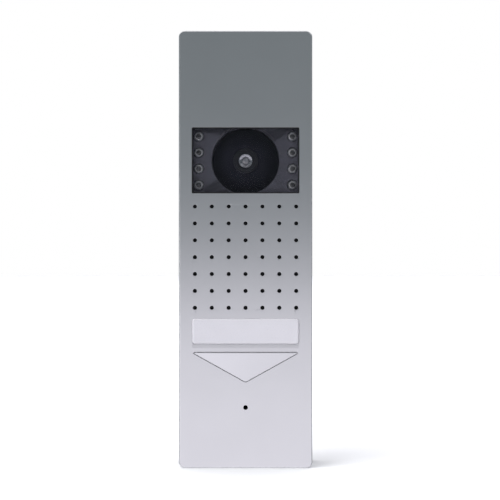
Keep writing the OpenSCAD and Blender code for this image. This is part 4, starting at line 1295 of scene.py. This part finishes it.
def terminal_housing():
    """The terminal block, with a screw shaft and a wire port for each way and grooves between them."""
    low, high = extent("terminal_block")
    body = Shell()
    body.slab(between(low, high, 0.3), low.z, high.z, 0.0)
    shafts = Shell()
    ports = Shell()
    grooves = Shell()
    for x in ways:
        shafts.slab(circle(2.0, (x, clamp_y), 40), low.z - BEYOND, 11.2, 0.0)
        ports.slab(rounded(3.2, 3.6, 0.3, (x, 10.8)), low.y - BEYOND, clamp_y, 0.0, place=face_down)
    for x in ways[:-1]:
        edge = x + way_pitch / 2
        groove = between((edge - 0.25, low.y - BEYOND), (edge + 0.25, high.y + BEYOND), 0.1)
        grooves.slab(groove, low.z - BEYOND, low.z + 0.5, 0.0)
    steps = [("DIFFERENCE", cut) for cut in (shafts, ports, grooves)]
    piece("terminal_housing", carved(body, steps, 0.12), "terminal_green", ["terminal_block"])


def clamp_screws():
    """The slotted screws in the terminal block's shafts."""
    top, end = 7.0, 8.8
    head = plain((0, top), (1.6, top)) + [(1.8, top + 0.2, 1), (1.8, end, 0), (0, end, 0)]
    screws = Shell()
    slots = Shell()
    for x in ways:
        screws.lathe(head, along_z(x, clamp_y), 32)
        slots.slab(rounded(3.4, 0.7, 0.05, (x, clamp_y)), top - BEYOND, top + 0.8, 0.0)
    piece("clamp_screws", carved(screws, [("DIFFERENCE", slots)], 0.0), "terminal_brass", ["terminal_screws"])


wires()
springs()
rear_shell()
housing_screws()
plugs()
wall_plate()
lock_screw()
terminal_housing()
clamp_screws()


# ------------------------------------------------------------------ studio


def area_light(name, place, target, size, radiance, colour=(1, 1, 1), glossy_only=False):
    """A soft rectangular light of a given brightness, which the camera doesn't see."""
    data = bpy.data.lights.new(name, "AREA")
    data.shape = "RECTANGLE"
    data.size, data.size_y = size
    data.energy = radiance * math.pi * size[0] * size[1]
    data.color = colour
    obj = placed(name, data)
    obj.location = place
    aim = Vector(target) - Vector(place)
    obj.rotation_euler = aim.to_track_quat("-Z", "Y").to_euler()
    obj.visible_camera = False
    if glossy_only:
        obj.visible_diffuse = False
        obj.visible_transmission = False
    return obj


def sun_light(name, direction, strength, softness, colour):
    """Daylight from one direction; softness is its angular width in degrees."""
    data = bpy.data.lights.new(name, "SUN")
    data.energy = strength
    data.angle = math.radians(softness)
    data.color = colour
    obj = placed(name, data)
    obj.rotation_euler = (-Vector(direction)).to_track_quat("-Z", "Y").to_euler()
    obj.visible_glossy = False


def world():
    """Pale behind and overhead; what the front reflects is a darker, cooler room."""
    made = bpy.data.worlds.new("studio")
    bpy.context.scene.world = made
    n = Nodes(made)
    ray = n.node("SeparateXYZ", Vector=n.node("TexCoord").outputs["Generated"])
    colour = (0.295, 0.335, 0.355)
    overhead = ("Z", 0.4, 0.95, (0.6, 0.6, 0.63))
    behind = ("Y", 0.0, 0.8, (0.74, 0.74, 0.77))
    for axis, start, end, pale in (overhead, behind):
        blend = n.node("MapRange", Value=ray.outputs[axis], From_Min=start, From_Max=end)
        blend.interpolation_type = "SMOOTHSTEP"
        colour = n.mix(blend.outputs[0], colour, pale)
    lit = n.node("Background", Color=colour)
    seen = n.node("Background", Color=(1, 1, 1))
    pick = n.node("MixShader", Fac=n.node("LightPath").outputs["Is Camera Ray"])
    n.put(lit.outputs[0], pick.inputs[1])
    n.put(seen.outputs[0], pick.inputs[2])
    n.node("OutputWorld", Surface=pick.outputs[0])


def floor():
    """A plain pale floor under the object."""
    bm = bmesh.new()
    bmesh.ops.create_grid(bm, x_segments=4, y_segments=4, size=6.0)
    mesh = bpy.data.meshes.new("floor")
    bm.to_mesh(mesh)
    bm.free()
    n = Look()
    n.owner.name = "pale_floor"
    shade = n.mix(n.noise(400), (0.86, 0.86, 0.88), (0.9, 0.9, 0.91))
    n.set(n.shader, Base_Color=shade, Roughness=0.8)
    mesh.materials.append(n.owner)
    obj = placed("floor", mesh)
    obj.location = (0, 0, cad_low.z - 0.0002)
    obj.visible_glossy = False


def camera():
    """Square on to the front, a little to the right of its middle, as the photograph is framed."""
    distance = 0.8
    seen_width = 0.2467
    data = bpy.data.cameras.new("camera")
    data.sensor_width = 36
    data.lens = data.sensor_width * distance / seen_width
    obj = placed("camera", data)
    obj.location = (0.0022, cad_low.y - distance, -0.0004)
    obj.rotation_euler = (math.radians(90), 0, 0)
    bpy.context.scene.camera = obj


world()
floor()
camera()
sun_light("key", (-1.1, -1.0, 1.15), 2.5, 55, (1, 0.995, 0.985))
area_light("overhead", (0, 2.2, 1.5), (0, 2.2, 0), (4.0, 5.6), 0.85, (0.985, 0.98, 1.0))
area_light("low_card", (0, -0.30, -0.32), (0, 0, -0.32), (1.2, 0.6), 1.16, (1.02, 0.965, 1.05), True)
area_light("under_card", (0, 0.1, -0.62), (0, 0.1, 0), (1.2, 0.8), 1.0, (1.0, 0.98, 1.04), True)
area_light("spark", (0.42, -0.5, 0.5), (0, 0, 0.05), (0.16, 0.16), 3.5, (1, 1, 1), True)
area_light("low_spark", (-0.42, -0.4, -0.06), (0, 0, 0.05), (0.14, 0.14), 4.0, (1, 1, 1), True)
bpy.context.scene.view_settings.view_transform = "Standard"
